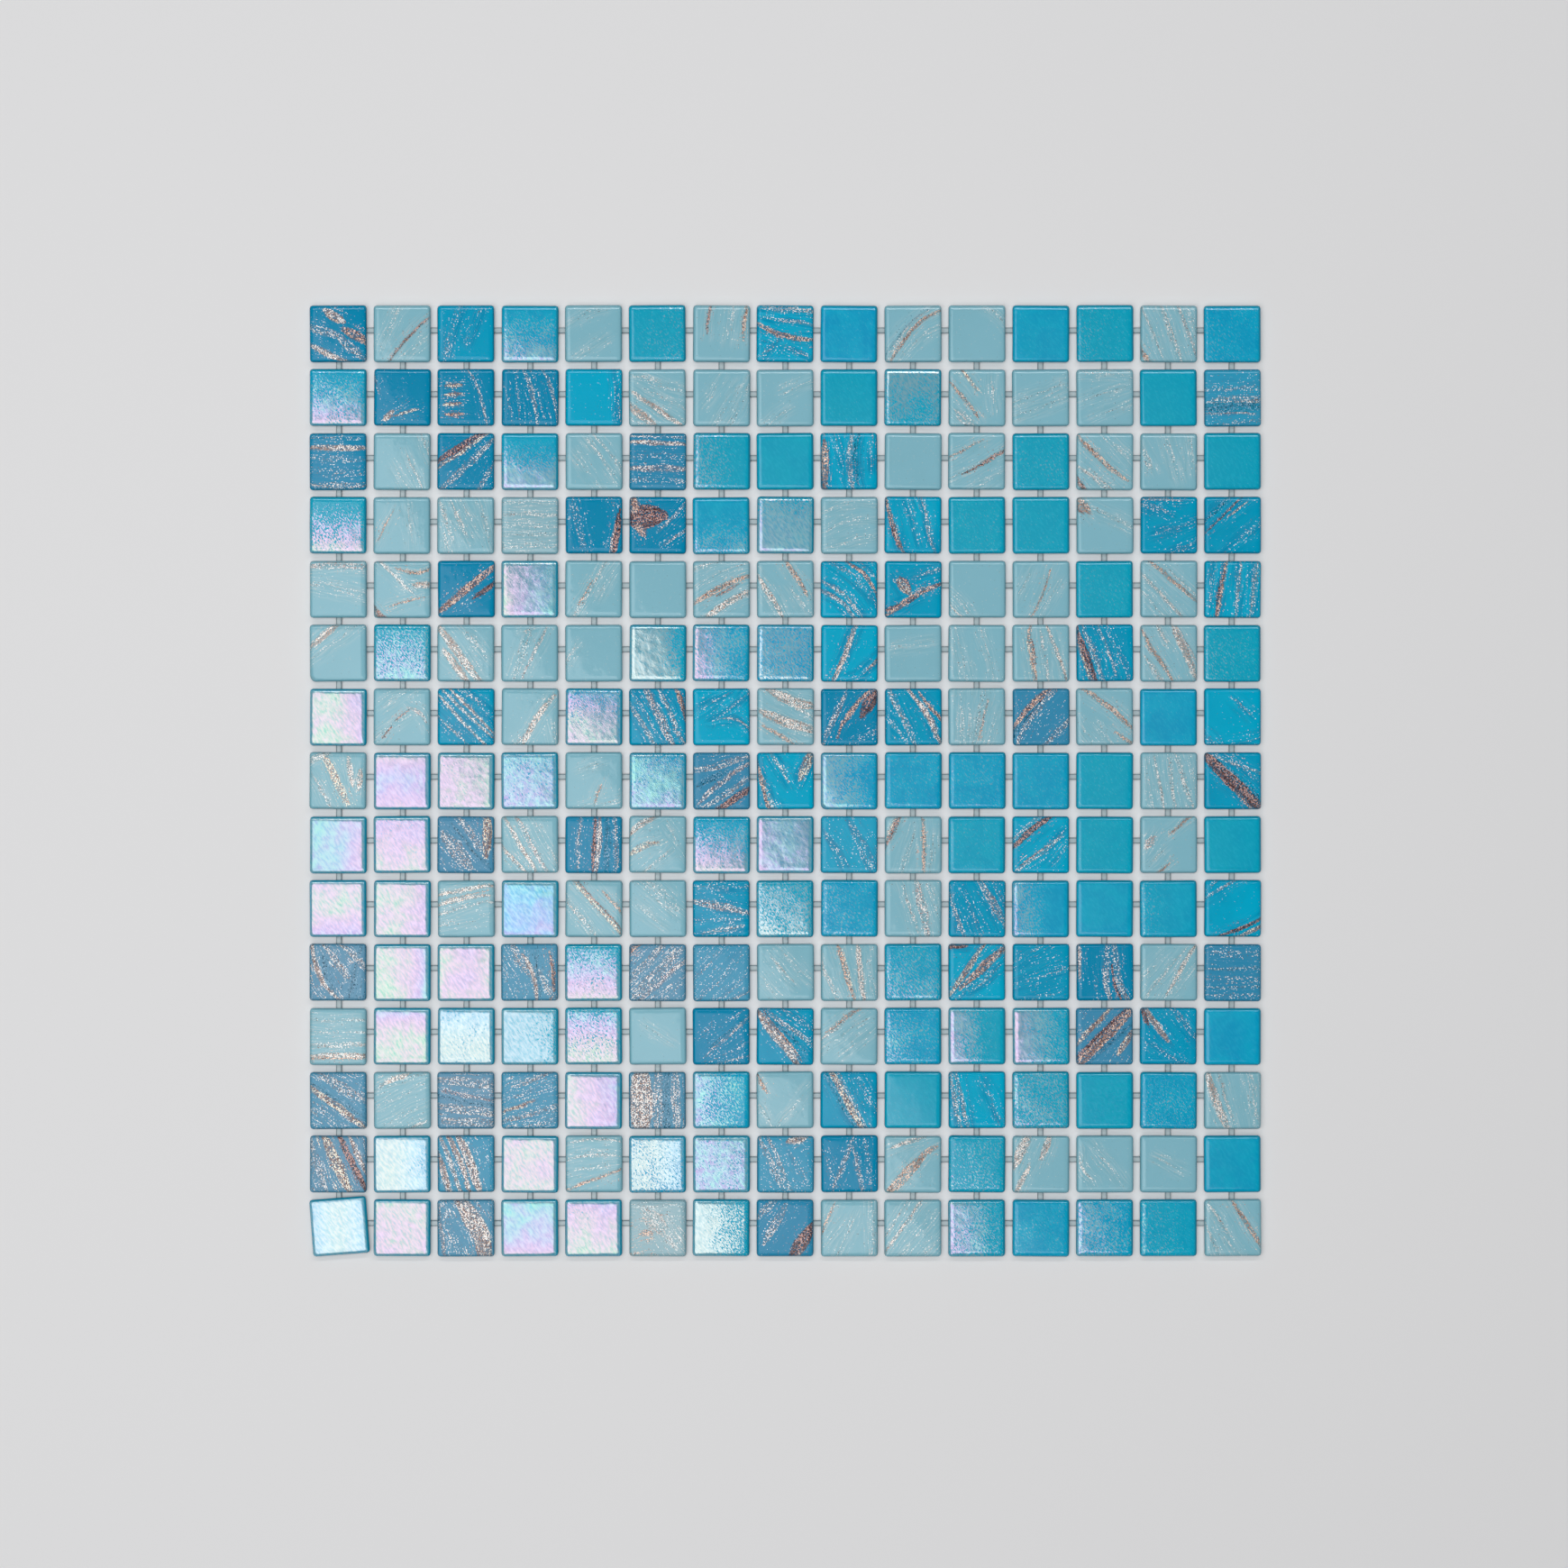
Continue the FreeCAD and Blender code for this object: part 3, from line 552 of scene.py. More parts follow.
def film_of(cell):
    """A tile's film in nanometres and its cover, each with its change per mm, and the film's crown."""
    *hues, way, first_cover, last_cover = FILM_BY_TILE.get(cell, BARE)[0].split()
    first, last = FILM_NM[hues[0]], FILM_NM[hues[-1]]
    crown = FILM_NM[hues[1]] - (first + last) / 2 if len(hues) == 3 else 0.0
    pairs = [(first, last), (float(first_cover) / 100, float(last_cover) / 100)]
    film, cover = [((start + end) / 2, *((end - start) / SIDE_MM * part for part in DRIFT_WAYS[way]))
                   for start, end in pairs]
    falling_off = [crown / HALF_MM ** 2 * abs(part) for part in (*DRIFT_WAYS[way], 0)]
    return (film[0] + crown, *film[1:]), cover, falling_off


print("film on the first pearl tile:", film_of((1, 4)))

# %% [markdown]
# Every tile starts as one point of a small mesh. The point carries what is special to its tile:
# its turn, its tilt, a seed for the noise, its shade, its film and its glitter bands. Geometry
# Nodes hand these attributes on to the instance, and Realize Instances to the finished mesh, where
# the shader reads them. So one material can paint every tile differently. Three tiles have lost a
# corner: theirs carry the side it is on, and how far the break runs along x and y and down, in
# millimetres. The others get a break too small to touch anything.

# %% One point for each tile
SEED_RANGE = 400.0
TILT_SPREAD = math.radians(0.45)
CHIPS = {(6, 1): ((-1, -1, 1), (2.6, 3.0, 2.8)), (8, 9): ((-1, -1, 1), (2.6, 2.6, 2.8)),
         (13, 2): ((1, -1, 1), (5.4, 3.3, 1.3))}
NO_CHIP = ((1, 1, 1), (0.01, 0.01, 0.01))


def tile_values(cell, turn):
    """What one tile carries, by the attribute's name."""
    draw = random.Random(100 * cell[0] + cell[1])
    values = {
        "turn": (0, 0, turn),
        "tilt": (draw.uniform(-1, 1) * TILT_SPREAD, draw.uniform(-1, 1) * TILT_SPREAD, 0),
        "seed": [draw.uniform(0, SEED_RANGE) for _ in range(3)],
        "shade": (draw.uniform(0, 1), SPARKLE_BY_TILE.get(cell, 0.0), depth_of(cell)),
    }
    values["film"], values["cover"], values["crown"] = film_of(cell)
    values["chip_side"], values["chip_reach"] = CHIPS.get(cell, NO_CHIP)
    for number, band in enumerate(bands_of(cell)):
        values.update({f"band_{number}_{word}": part for word, part in zip(("start", "end", "tone"), band)})
    return values


def tile_points(name, places):
    """A mesh of one point for each tile, with the tile's own values as attributes."""
    cells = sorted(places)
    mesh = bpy.data.meshes.new(name)
    mesh.from_pydata([(places[c][0], places[c][1], 0) for c in cells], [], [])
    rows = [tile_values(c, places[c][2]) for c in cells]
    for word in rows[0]:
        is_tone = word.endswith("tone")
        layer = mesh.attributes.new(word, "FLOAT_COLOR" if is_tone else "FLOAT_VECTOR", "POINT")
        numbers = np.array([row[word] for row in rows], dtype=np.float32)
        layer.data.foreach_set("color" if is_tone else "vector", numbers.ravel())
    return mesh


print("a tile carries:", list(tile_values((1, 1), 0.0)))

# %% [markdown]
# A pressed tile has a flat face, rounded shoulders, and flanks that lean in towards the back so
# that it drops out of the die. Its shape follows a rule, so Geometry Nodes make it from a grid.
# The inner cells of the grid stay flat, with one ring of them close to the edge so that the smooth
# shading leaves the face flat. The outer cells wrap over a ball of the shoulder's radius, which
# rounds the long edges and the corners in one step. The rim is then pulled down twice, for
# the band below the shoulder and for the flank, and the hole in the back is filled.

# %% The pressed tile, as a node tree
FACE_STEPS = 4
RIM_STEPS = 2
RING_EASE = 0.18
ALMOST_RIGHT_ANGLE = math.radians(89.9)
WELD_DISTANCE = 0.002 * MM


def face_shape(add, place, given, half, level):
    """Where each point of the grid goes on the flat face and over the rounded shoulder."""
    steps = add(VECTOR, "ABSOLUTE", place)
    sign = add(VECTOR, "SIGN", place)
    flat_part = add(VECTOR, "MINIMUM", steps, FACE_STEPS / 2)
    flat_share = add(VECTOR, "MULTIPLY", flat_part, 2 / FACE_STEPS)
    flat_eased = add(VECTOR, "POWER", flat_share, RING_EASE)
    flat_reach = add(MATH, "SUBTRACT", half, given["Shoulder"])
    core = add(VECTOR, "SCALE", flat_eased, Scale=flat_reach)
    signed_core = add(VECTOR, "MULTIPLY", core, sign)

    rim_part = add(VECTOR, "SUBTRACT", steps, FACE_STEPS / 2)
    rim_steps = add(VECTOR, "MAXIMUM", rim_part, 0.0)
    angle = add(VECTOR, "SCALE", rim_steps, Scale=ALMOST_RIGHT_ANGLE / RIM_STEPS)
    slope = add(VECTOR, "TANGENT", angle)
    signed_slope = add(VECTOR, "MULTIPLY", slope, sign)
    leaning = add(VECTOR, "ADD", signed_slope, (0, 0, 1))
    outward = add(VECTOR, "NORMALIZE", leaning)
    on_ball = add(VECTOR, "SCALE", outward, Scale=given["Shoulder"])
    wrapped = add(VECTOR, "ADD", signed_core, on_ball)
    return add(VECTOR, "ADD", wrapped, add(JOIN, Z=level))


def build_pressed_tile():
    """A tree that makes one tile, its back on the ground and its middle over the origin."""
    tree, add = new_tree("pressed_tile", "GeometryNodeTree",
                         {"Side": TILE_SIDE, "Thickness": TILE_THICKNESS, "Shoulder": SHOULDER_RADIUS,
                          "Edge Band": EDGE_BAND, "Flank Inset": FLANK_INSET}, {"Geometry": "Geometry"})
    given = add("NodeGroupInput").outputs
    cells = FACE_STEPS + 2 * RIM_STEPS
    grid = add("GeometryNodeMeshGrid", Size_X=cells, Size_Y=cells, Vertices_X=cells + 1, Vertices_Y=cells + 1)
    place = add("GeometryNodeInputPosition")
    half = add(MATH, "MULTIPLY", given["Side"], 0.5)
    level = add(MATH, "SUBTRACT", given["Thickness"], given["Shoulder"])
    raised = face_shape(add, place, given, half, level)
    face = add("GeometryNodeSetPosition", Geometry=grid, Position=raised)

    neighbours = add("GeometryNodeInputMeshEdgeNeighbors")
    rim = add("FunctionNodeCompare", "EQUAL", data_type="INT", A=neighbours, B=1)
    band_drop = add(MATH, "MULTIPLY", given["Edge Band"], -1.0)
    band = add("GeometryNodeExtrudeMesh", mode="EDGES", Mesh=face, Selection=rim,
               Offset=add(JOIN, Z=band_drop))
    flank_drop = add(MATH, "SUBTRACT", given["Edge Band"], level)
    flank = add("GeometryNodeExtrudeMesh", mode="EDGES", Mesh=band, Selection=band.outputs["Top"],
                Offset=add(JOIN, Z=flank_drop))
    inset_share = add(MATH, "DIVIDE", given["Flank Inset"], half)
    shrink = add(MATH, "SUBTRACT", 1.0, inset_share)
    foot = add(VECTOR, "MULTIPLY", place, add(JOIN, X=shrink, Y=shrink, Z=0.0))
    body = add("GeometryNodeSetPosition", Geometry=flank, Selection=flank.outputs["Top"], Position=foot)

    back_rim = add("GeometryNodeMeshToCurve", Mesh=body, Selection=flank.outputs["Top"])
    back = add("GeometryNodeFlipFaces", Mesh=add("GeometryNodeFillCurve", mode="NGONS", Curve=back_rim))
    parts = add("GeometryNodeJoinGeometry")
    for piece, is_smooth in ((body, True), (back, False)):
        shaded = add("GeometryNodeSetShadeSmooth", Geometry=piece, Shade_Smooth=is_smooth)
        add(parts, Geometry=shaded)
    closed = add("GeometryNodeMergeByDistance", Geometry=parts, Distance=WELD_DISTANCE)
    add("NodeGroupOutput", Geometry=closed)
    return tree


PRESSED_TILE = build_pressed_tile()
print("nodes in the tile's tree:", len(PRESSED_TILE.nodes))

# %% [markdown]
# A pattern needs to know where on its tile it is. Before the tile is copied, each of its points
# stores its own place in millimetres. Points further down the side are folded outwards, as if the
# flank were opened flat, so that a band of glitter runs over the shoulder and on down the side.

# %% A tile that knows its own places
def furthest_out(add, place):
    """How far a place is from the middle of its tile, along x or y, whichever is more."""
    parts = add(SPLIT, add(VECTOR, "ABSOLUTE", place)).outputs
    return add(MATH, "MAXIMUM", parts["X"], parts["Y"])


def marked_tile(add, place, given):
    """One tile that stores its own plain places and its opened flat ones."""
    tile = add("GeometryNodeGroup", node_tree=PRESSED_TILE, Side=given["Side"], Thickness=given["Thickness"])
    depth = add(MATH, "SUBTRACT", given["Thickness"], add(SPLIT, place).outputs["Z"])
    safe = add(MATH, "MAXIMUM", furthest_out(add, place), MM)
    unfold = add(MATH, "DIVIDE", depth, safe)
    opened = add(MATH, "ADD", unfold, 1.0)
    in_mm = add(MATH, "MULTIPLY", opened, 1 / MM)
    on_tile = add(VECTOR, "MULTIPLY", place, add(JOIN, X=in_mm, Y=in_mm, Z=1 / MM))
    local = add(VECTOR, "SCALE", place, Scale=1 / MM)
    for word, value in (("tile_mm", on_tile), ("local_mm", local)):
        tile = add("GeometryNodeStoreNamedAttribute", data_type="FLOAT_VECTOR", domain="POINT",
                   Geometry=tile, Name=word, Value=value)
    return tile


print("a face reaches this far out, in mm:", HALF_MM)

# %% [markdown]
# After copying, noise makes each tile a little uneven, always inwards, so that no tile grows. Each
# face tilts a little, and sags towards its edges by a tenth of a millimetre, as pressed glass
# does. Last, the points beyond the slanted plane of a lost corner are pushed back on to it.

# %% The band of tiles, as a node tree
WOBBLE_LENGTH = 6.0 * MM


def uneven_offset(add, place, given, tilt, stored):
    """How far a point moves sideways by the wobble, and down by tilt, dip and sag."""
    noise = add(NOISE, Vector=place, Scale=1 / WOBBLE_LENGTH, Detail=2.0)
    centred = add(VECTOR, "SUBTRACT", noise.outputs["Color"], 0.5)
    twice = add(MATH, "MULTIPLY", given["Edge Wobble"], 2.0)
    sideways = add(SPLIT, add(VECTOR, "SCALE", centred, Scale=twice)).outputs

    leaning = add(VECTOR, "DOT_PRODUCT", tilt, stored)
    most = add(VECTOR, "DOT_PRODUCT", add(VECTOR, "ABSOLUTE", tilt), HALF_MM)
    no_rise = add(MATH, "MINIMUM", add(MATH, "SUBTRACT", leaning, most), 0.0)
    tilt_drop = add(MATH, "MULTIPLY", no_rise, MM)
    dip = add(MATH, "MULTIPLY", noise, given["Face Dip"])
    out_share = add(VECTOR, "MULTIPLY", stored, (1 / HALF_MM, 1 / HALF_MM, 0))
    out_square = add(VECTOR, "DOT_PRODUCT", out_share, out_share)
    sag = add(MATH, "MULTIPLY_ADD", out_square, given["Pillow"], dip)
    drop = add(MATH, "SUBTRACT", tilt_drop, sag)
    height = add(MATH, "DIVIDE", add(SPLIT, place).outputs["Z"], given["Thickness"])
    drop_here = add(MATH, "MULTIPLY", drop, height)
    return add(JOIN, X=sideways["X"], Y=sideways["Y"], Z=drop_here)


def chip_offset(add, side, reach, local):
    """How far a point beyond the plane of a lost corner moves back to it."""
    faced = add(VECTOR, "MULTIPLY", local, side)
    inward = add(VECTOR, "SUBTRACT", (HALF_MM, HALF_MM, TILE_THICKNESS / MM), faced)
    shares = add(VECTOR, "DIVIDE", inward, reach)
    whole = add(VECTOR, "DOT_PRODUCT", shares, 1.0)
    beyond = add(MATH, "MAXIMUM", add(MATH, "SUBTRACT", 1.0, whole), 0.0)
    slant = add(VECTOR, "DIVIDE", 1.0, reach)
    slant_square = add(VECTOR, "DOT_PRODUCT", slant, slant)
    push = add(VECTOR, "SCALE", slant, Scale=add(MATH, "DIVIDE", beyond, slant_square))
    return add(VECTOR, "SCALE", add(VECTOR, "MULTIPLY", push, side), Scale=-MM)


def build_tile_rows():
    """A tree that stands a pressed tile on every point and makes each one a little uneven."""
    tree, add = new_tree("tile_rows", "GeometryNodeTree",
                         {"Points": "Geometry", "Glass": "Material", "Side": TILE_SIDE - 2 * EDGE_WOBBLE,
                          "Thickness": TILE_THICKNESS, "Edge Wobble": EDGE_WOBBLE, "Face Dip": FACE_DIP,
                          "Pillow": PILLOW}, {"Geometry": "Geometry"})
    given = add("NodeGroupInput").outputs
    place = add("GeometryNodeInputPosition")
    turn, tilt, stored, side, reach, local = (
        add("GeometryNodeInputNamedAttribute", data_type="FLOAT_VECTOR", Name=word)
        for word in ("turn", "tilt", "tile_mm", "chip_side", "chip_reach", "local_mm"))
    copies = add("GeometryNodeInstanceOnPoints", Points=given["Points"],
                 Instance=marked_tile(add, place, given), Rotation=add("FunctionNodeEulerToRotation", turn))
    tiles = add("GeometryNodeRealizeInstances", Geometry=copies)
    for offset in (uneven_offset(add, place, given, tilt, stored), chip_offset(add, side, reach, local)):
        tiles = add("GeometryNodeSetPosition", Geometry=tiles, Offset=offset)
    glass = add("GeometryNodeSetMaterial", Geometry=tiles, Material=given["Glass"])
    add("NodeGroupOutput", Geometry=glass)
    return tree


TILE_ROWS = build_tile_rows()
print("nodes in the rows' tree:", len(TILE_ROWS.nodes))

# %% [markdown]
# One glitter band, as a shader group. It measures how far a point lies inside a bowed stroke from
# start to end, in millimetres, and how far along and across the stroke it is. The second pair is
# what makes the threads inside a band run with it. A stroke is slim at its ends and fuller in its
# middle. Every aventurine tile uses the group five times, once for each of its bands.

# %% The band group
SLIM_END = 0.24
FULLER_MIDDLE = 0.38


def build_band_group():
    """A shader group: depth inside a bowed stroke, and the place along and across it."""
    tree, add = new_tree("glitter_band", "ShaderNodeTree",
                         {"Point": "Vector", "Start": "Vector", "End": "Vector"},
                         {"Depth": "Float", "Flow": "Vector"})
    given = add("NodeGroupInput").outputs
    start, end, point = (add(VECTOR, "MULTIPLY", given[word], (1.0, 1.0, 0.0))
                         for word in ("Start", "End", "Point"))
    bow, width = (add(SPLIT, given[word]).outputs["Z"] for word in ("Start", "End"))
    whole = add(VECTOR, "SUBTRACT", end, start)
    length = add(VECTOR, "LENGTH", whole)
    way = add(VECTOR, "NORMALIZE", whole)
    side_way = add(VECTOR, "CROSS_PRODUCT", (0, 0, 1), way)
    reach = add(VECTOR, "SUBTRACT", point, start)
    along, across = (add(VECTOR, "DOT_PRODUCT", reach, axis) for axis in (way, side_way))
    share = add(MATH, "DIVIDE", along, length, use_clamp=True)
    product = add(MATH, "MULTIPLY", share, add(MATH, "SUBTRACT", 1.0, share))
    belly = add(MATH, "MULTIPLY", product, 4.0)
    off_line = add(MATH, "SUBTRACT", across, add(MATH, "MULTIPLY", belly, bow))
    beyond = add(MATH, "SUBTRACT", along, add(MATH, "MULTIPLY", share, length))
    distance = add(VECTOR, "LENGTH", add(JOIN, X=off_line, Y=beyond))
    fuller = add(MATH, "MULTIPLY_ADD", belly, FULLER_MIDDLE, SLIM_END)
    depth = add(MATH, "SUBTRACT", add(MATH, "MULTIPLY", width, fuller), distance)
    add("NodeGroupOutput", Depth=depth, Flow=add(JOIN, X=along, Y=off_line))
    return tree


BAND_GROUP = build_band_group()
print("nodes in the band group:", len(BAND_GROUP.nodes))

# %% [markdown]
# Aventurine glass: opaque turquoise or aqua glass, melted with copper and silver crystals, pressed
# hot and left with its fire-polished skin. Three things give it away: a clear glossy skin, body
# colour that drifts in soft swirls along the flow, and crystals that lie in threads and flash one
# by one. First, which band does a point lie deepest in? Five band groups are compared one after
# another, and the deepest one gives its flow, its tone and its density. Two noises that are
# stretched along the flow make the fine threads and the wide ones.

# %% The band and the threads at a point
THREAD_WIDTH = 0.45
THREAD_LENGTH = 9.0
WIDE_THREADS = (0.7, 0.22, 0)
FAR_OUTSIDE = -60.0


def deepest_band(add, point):
    """The depth in the band that a point lies deepest in, and that band's flow, tone and density."""
    depth, flow, tone, density = FAR_OUTSIDE, (0.0, 0.0, 0.0), (0.8, 0.8, 0.8, 1.0), 0.3
    for number in range(MOST_BANDS):
        start, end, metal = (add(ATTRIBUTE, attribute_name=f"band_{number}_{word}").outputs
                             for word in ("start", "end", "tone"))
        band = add("ShaderNodeGroup", node_tree=BAND_GROUP, Point=point, Start=start["Vector"],
                   End=end["Vector"]).outputs
        deeper = add(MATH, "GREATER_THAN", band["Depth"], depth)
        flow = add(MIX, data_type="VECTOR", Factor=deeper, A=flow, B=band["Flow"])
        tone = add(MIX, data_type="RGBA", Factor=deeper, A=tone, B=metal["Color"])
        density = add(MIX, Factor=deeper, A=density, B=metal["Alpha"])
        depth = add(MATH, "MAXIMUM", band["Depth"], depth)
    return depth, flow, tone, density


def threads_along(add, flow, seed):
    """The noise of the fine threads and that of the wide ones, both drawn out along the flow."""
    stretched = add(VECTOR, "MULTIPLY", flow, (1 / THREAD_LENGTH, 1 / THREAD_WIDTH, 0))
    place = add(VECTOR, "ADD", stretched, seed)
    fine = add(NOISE, noise_dimensions="2D", Vector=place, Scale=1.0, Detail=2.0, Roughness=0.6)
    slow = add(VECTOR, "MULTIPLY", place, WIDE_THREADS)
    return fine, add(NOISE, noise_dimensions="2D", Vector=slow, Scale=1.0, Detail=1.0)


print("threads in mm:", THREAD_LENGTH, "by", THREAD_WIDTH)

# %% [markdown]
# How much metal is there at a point? Inside a band it follows the threads, and the denser the tone
# the less gap is left between them. Around a band some flecks are strewn along the fine threads.
# The crystals measure a tenth of a millimetre or less. They are drawn at about 0.4 mm, as finer
# ones would not show in the picture. Each cell of a Voronoi pattern may hold one: the share of
# metal is the chance that it does, and it makes the fleck larger too.

# %% Where the metal is
FLECK_SIZE = 0.42
DOT_EASE = 0.07
EVENNESS = 0.75
LOOSE_SHARE = 0.28


def metal_here(add, depth, density, threads, sparkle, fleck_amount):
    """Inside a band, near one, the metal in it, and the metal in all, each from nought to one."""
    inside = add(RANGE, interpolation_type="SMOOTHSTEP", Value=depth, From_Min=-0.45, From_Max=0.35)
    near = add(RANGE, interpolation_type="SMOOTHSTEP", Value=depth, From_Min=-4.5, From_Max=-0.3)
    thread_on = add(RANGE, Value=threads, From_Min=0.40, From_Max=0.58, To_Min=0.10)
    packed = add(MIX, Factor=add(MATH, "MULTIPLY", density, EVENNESS), A=thread_on, B=1.0)
    packed_share = add(MATH, "MULTIPLY_ADD", density, EVENNESS, LOOSE_SHARE)
    in_band = add(MATH, "MULTIPLY", inside, add(MATH, "MULTIPLY", packed, packed_share))
    strewn = add(MATH, "MAXIMUM", add(MATH, "MULTIPLY", near, fleck_amount), sparkle)
    fine_on = add(RANGE, Value=threads, From_Min=0.50, From_Max=0.68)
    in_all = add(MATH, "MAXIMUM", in_band, add(MATH, "MULTIPLY", strewn, fine_on))
    return inside, near, in_band, in_all


def flecks_at(add, own, metal_share):
    """Whether a point is on a fleck, its draw for painted shade and a painted glint, and its random lean."""
    cells = add("ShaderNodeTexVoronoi", voronoi_dimensions="2D", Vector=own, Scale=1 / FLECK_SIZE).outputs
    chance = add("ShaderNodeSeparateColor", cells["Color"]).outputs
    margin = add(MATH, "SUBTRACT", metal_share, chance["Red"])
    chosen = add(RANGE, Value=margin, From_Min=-0.04, From_Max=0.06)
    dot_size = add(MATH, "MULTIPLY_ADD", metal_share, 0.18, 0.34)
    dot_depth = add(MATH, "SUBTRACT", dot_size, cells["Distance"])
    dot = add(RANGE, Value=dot_depth, From_Min=-DOT_EASE, From_Max=DOT_EASE)
    lean = add(VECTOR, "SUBTRACT", cells["Color"], 0.5)
    return add(MATH, "MULTIPLY", chosen, dot), chance["Green"], lean


print("places for a fleck on one face:", round((SIDE_MM / FLECK_SIZE) ** 2))

# %% [markdown]
# The colour of the metal is the tone of its band. Some flecks are painted dark, as the shade of flecks that
# lie edge on, and some get a painted glint, nearly white. The glass has its own drift: towards the deeper
# colour along the wide threads and in soft clouds, towards milk along the fine threads, and towards a pale
# peach where a tile sparkles all over. Under a dense band the metal below the surface stains the glass too.

# %% The colours of metal and glass
# Flecks that lie edge on are painted in the dark tone as shade, and others get a painted glint; the dark tone
# also darkens a band's core.
DARK_AND_SHADED_METAL = (0.30, 0.22, 0.19)
STAIN = (0.28, 0.25, 0.24)
PAINTED_GLINT_GAIN = (1.65, 1.6, 1.55)
PAINTED_GLINT_LIFT = 0.30
PAINTED_GLINT_MOST = (1.0, 0.96, 0.92)
PEACH_SHARE = 0.15


def metal_colour(add, tone, glint_chance, dark_share, core):
    """The tone of one fleck, from painted shade through plain to a painted glint, and dark in the core of a
    band.
    """
    dark_and_shaded_tone = add(VECTOR, "MULTIPLY", tone, DARK_AND_SHADED_METAL)
    not_dark = add(RANGE, Value=glint_chance, From_Min=dark_share, From_Max=dark_share + 0.15)
    mid_tone = add(MIX, data_type="RGBA", Factor=not_dark, A=dark_and_shaded_tone, B=tone)
    painted_flash = add(RANGE, Value=glint_chance, From_Min=0.35, From_Max=0.55, To_Max=0.95)
    glint = add(VECTOR, "MULTIPLY_ADD", tone, PAINTED_GLINT_GAIN, PAINTED_GLINT_LIFT)
    painted_glint_tone = add(VECTOR, "MINIMUM", glint, PAINTED_GLINT_MOST)
    painted_lit_tone = add(MIX, data_type="RGBA", Factor=painted_flash, A=mid_tone, B=painted_glint_tone)
    return add(MIX, data_type="RGBA", Factor=core, A=painted_lit_tone, B=dark_and_shaded_tone)


def glass_colour(add, body, body_deep, milk, per_tile, swirl, threads, wide_threads, near):
    """The glass between the flecks: its batch, its drift, its milky threads, and a pale peach where it
    sparkles all over.
    """
    drift = add(RANGE, Value=wide_threads, From_Min=0.35, From_Max=0.68, To_Max=0.7)
    cloud = add(RANGE, Value=swirl, From_Min=0.35, From_Max=0.75, To_Max=0.5)
    clouded = add(MATH, "MULTIPLY", cloud, per_tile["X"])
    drifted = add(MATH, "MAXIMUM", add(MATH, "MULTIPLY", drift, near), clouded)
    sparkling = add(MATH, "MAXIMUM", drifted, add(MATH, "MULTIPLY", per_tile["Y"], 0.7))
    deeper_here = add(MIX, Factor=per_tile["Z"], A=sparkling, B=0.9)
    plain = add(MIX, data_type="RGBA", Factor=deeper_here, A=body, B=body_deep)
    milk_line = add(RANGE, Value=threads, From_Min=0.42, From_Max=0.72, To_Max=milk)
    milky = add(MIX, data_type="RGBA", Factor=add(MATH, "MULTIPLY", milk_line, near), A=plain, B="#C9D6D8")
    # A pale peach mixed in where a tile sparkles all over.
    peach_here = add(MATH, "MULTIPLY", per_tile["Y"], PEACH_SHARE)
    return add(MIX, data_type="RGBA", Factor=peach_here, A=milky, B="#E6C4B4")


print("tiles that sparkle all over:", len(SPARKLE_BY_TILE))

# %% [markdown]
# The foot of every flank is painted paler, for the light that comes in through the joints, and the rim of an
# aventurine tile is painted with a darker outline of shade. The clear skin is the shader's coat, and the
# crystals below it are half metal, each tilted its own way.

# %% Aventurine glass
SWIRL_SIZE = 11.0
WAVER = 1.7
GLASS_IOR = 1.52
GLASS_GLOSS = 0.10
SKIN_ROUGHNESS = 0.06
RIPPLE_SIZE = 4.5
RIPPLE_DEPTH = 0.05 * MM
FLECK_METAL = 0.50
FLECK_LEAN = 0.3
# The foot of each flank is painted towards this pale colour, for the light through the joints.
FOOT_PAINTED_LIGHT = 0.55
FOOT_LIGHT_PAINT = "#A8DCE8"


def foot_painted_lighter(add, rim, glass):
    """The colour of the glass, painted paler towards the foot of the flank, for the light through the joints.
    """
    low = add(RANGE, Value=rim, From_Min=HALF_MM + 1.2, From_Max=HALF_MM + 2.6, To_Max=FOOT_PAINTED_LIGHT)
    return add(MIX, data_type="RGBA", Factor=low, A=glass, B=FOOT_LIGHT_PAINT)


def with_painted_rim_shade(add, rim, glass, rim_shade_colour):
    """The colour of the glass, with a painted dark outline of shade along the rim."""
    # A band along the rim is painted darker, as shade.
    past_rim = add(RANGE, Value=rim, From_Min=HALF_MM - 0.6, From_Max=HALF_MM + 0.2, To_Max=0.7)
    before_flank = add(RANGE, Value=rim, From_Min=HALF_MM + 0.9, From_Max=HALF_MM + 1.8, To_Min=1.0,
                       To_Max=0.0)
    rim_shade_here = add(MATH, "MULTIPLY", past_rim, before_flank)
    return add(MIX, data_type="RGBA", Factor=rim_shade_here, A=glass, B=rim_shade_colour)


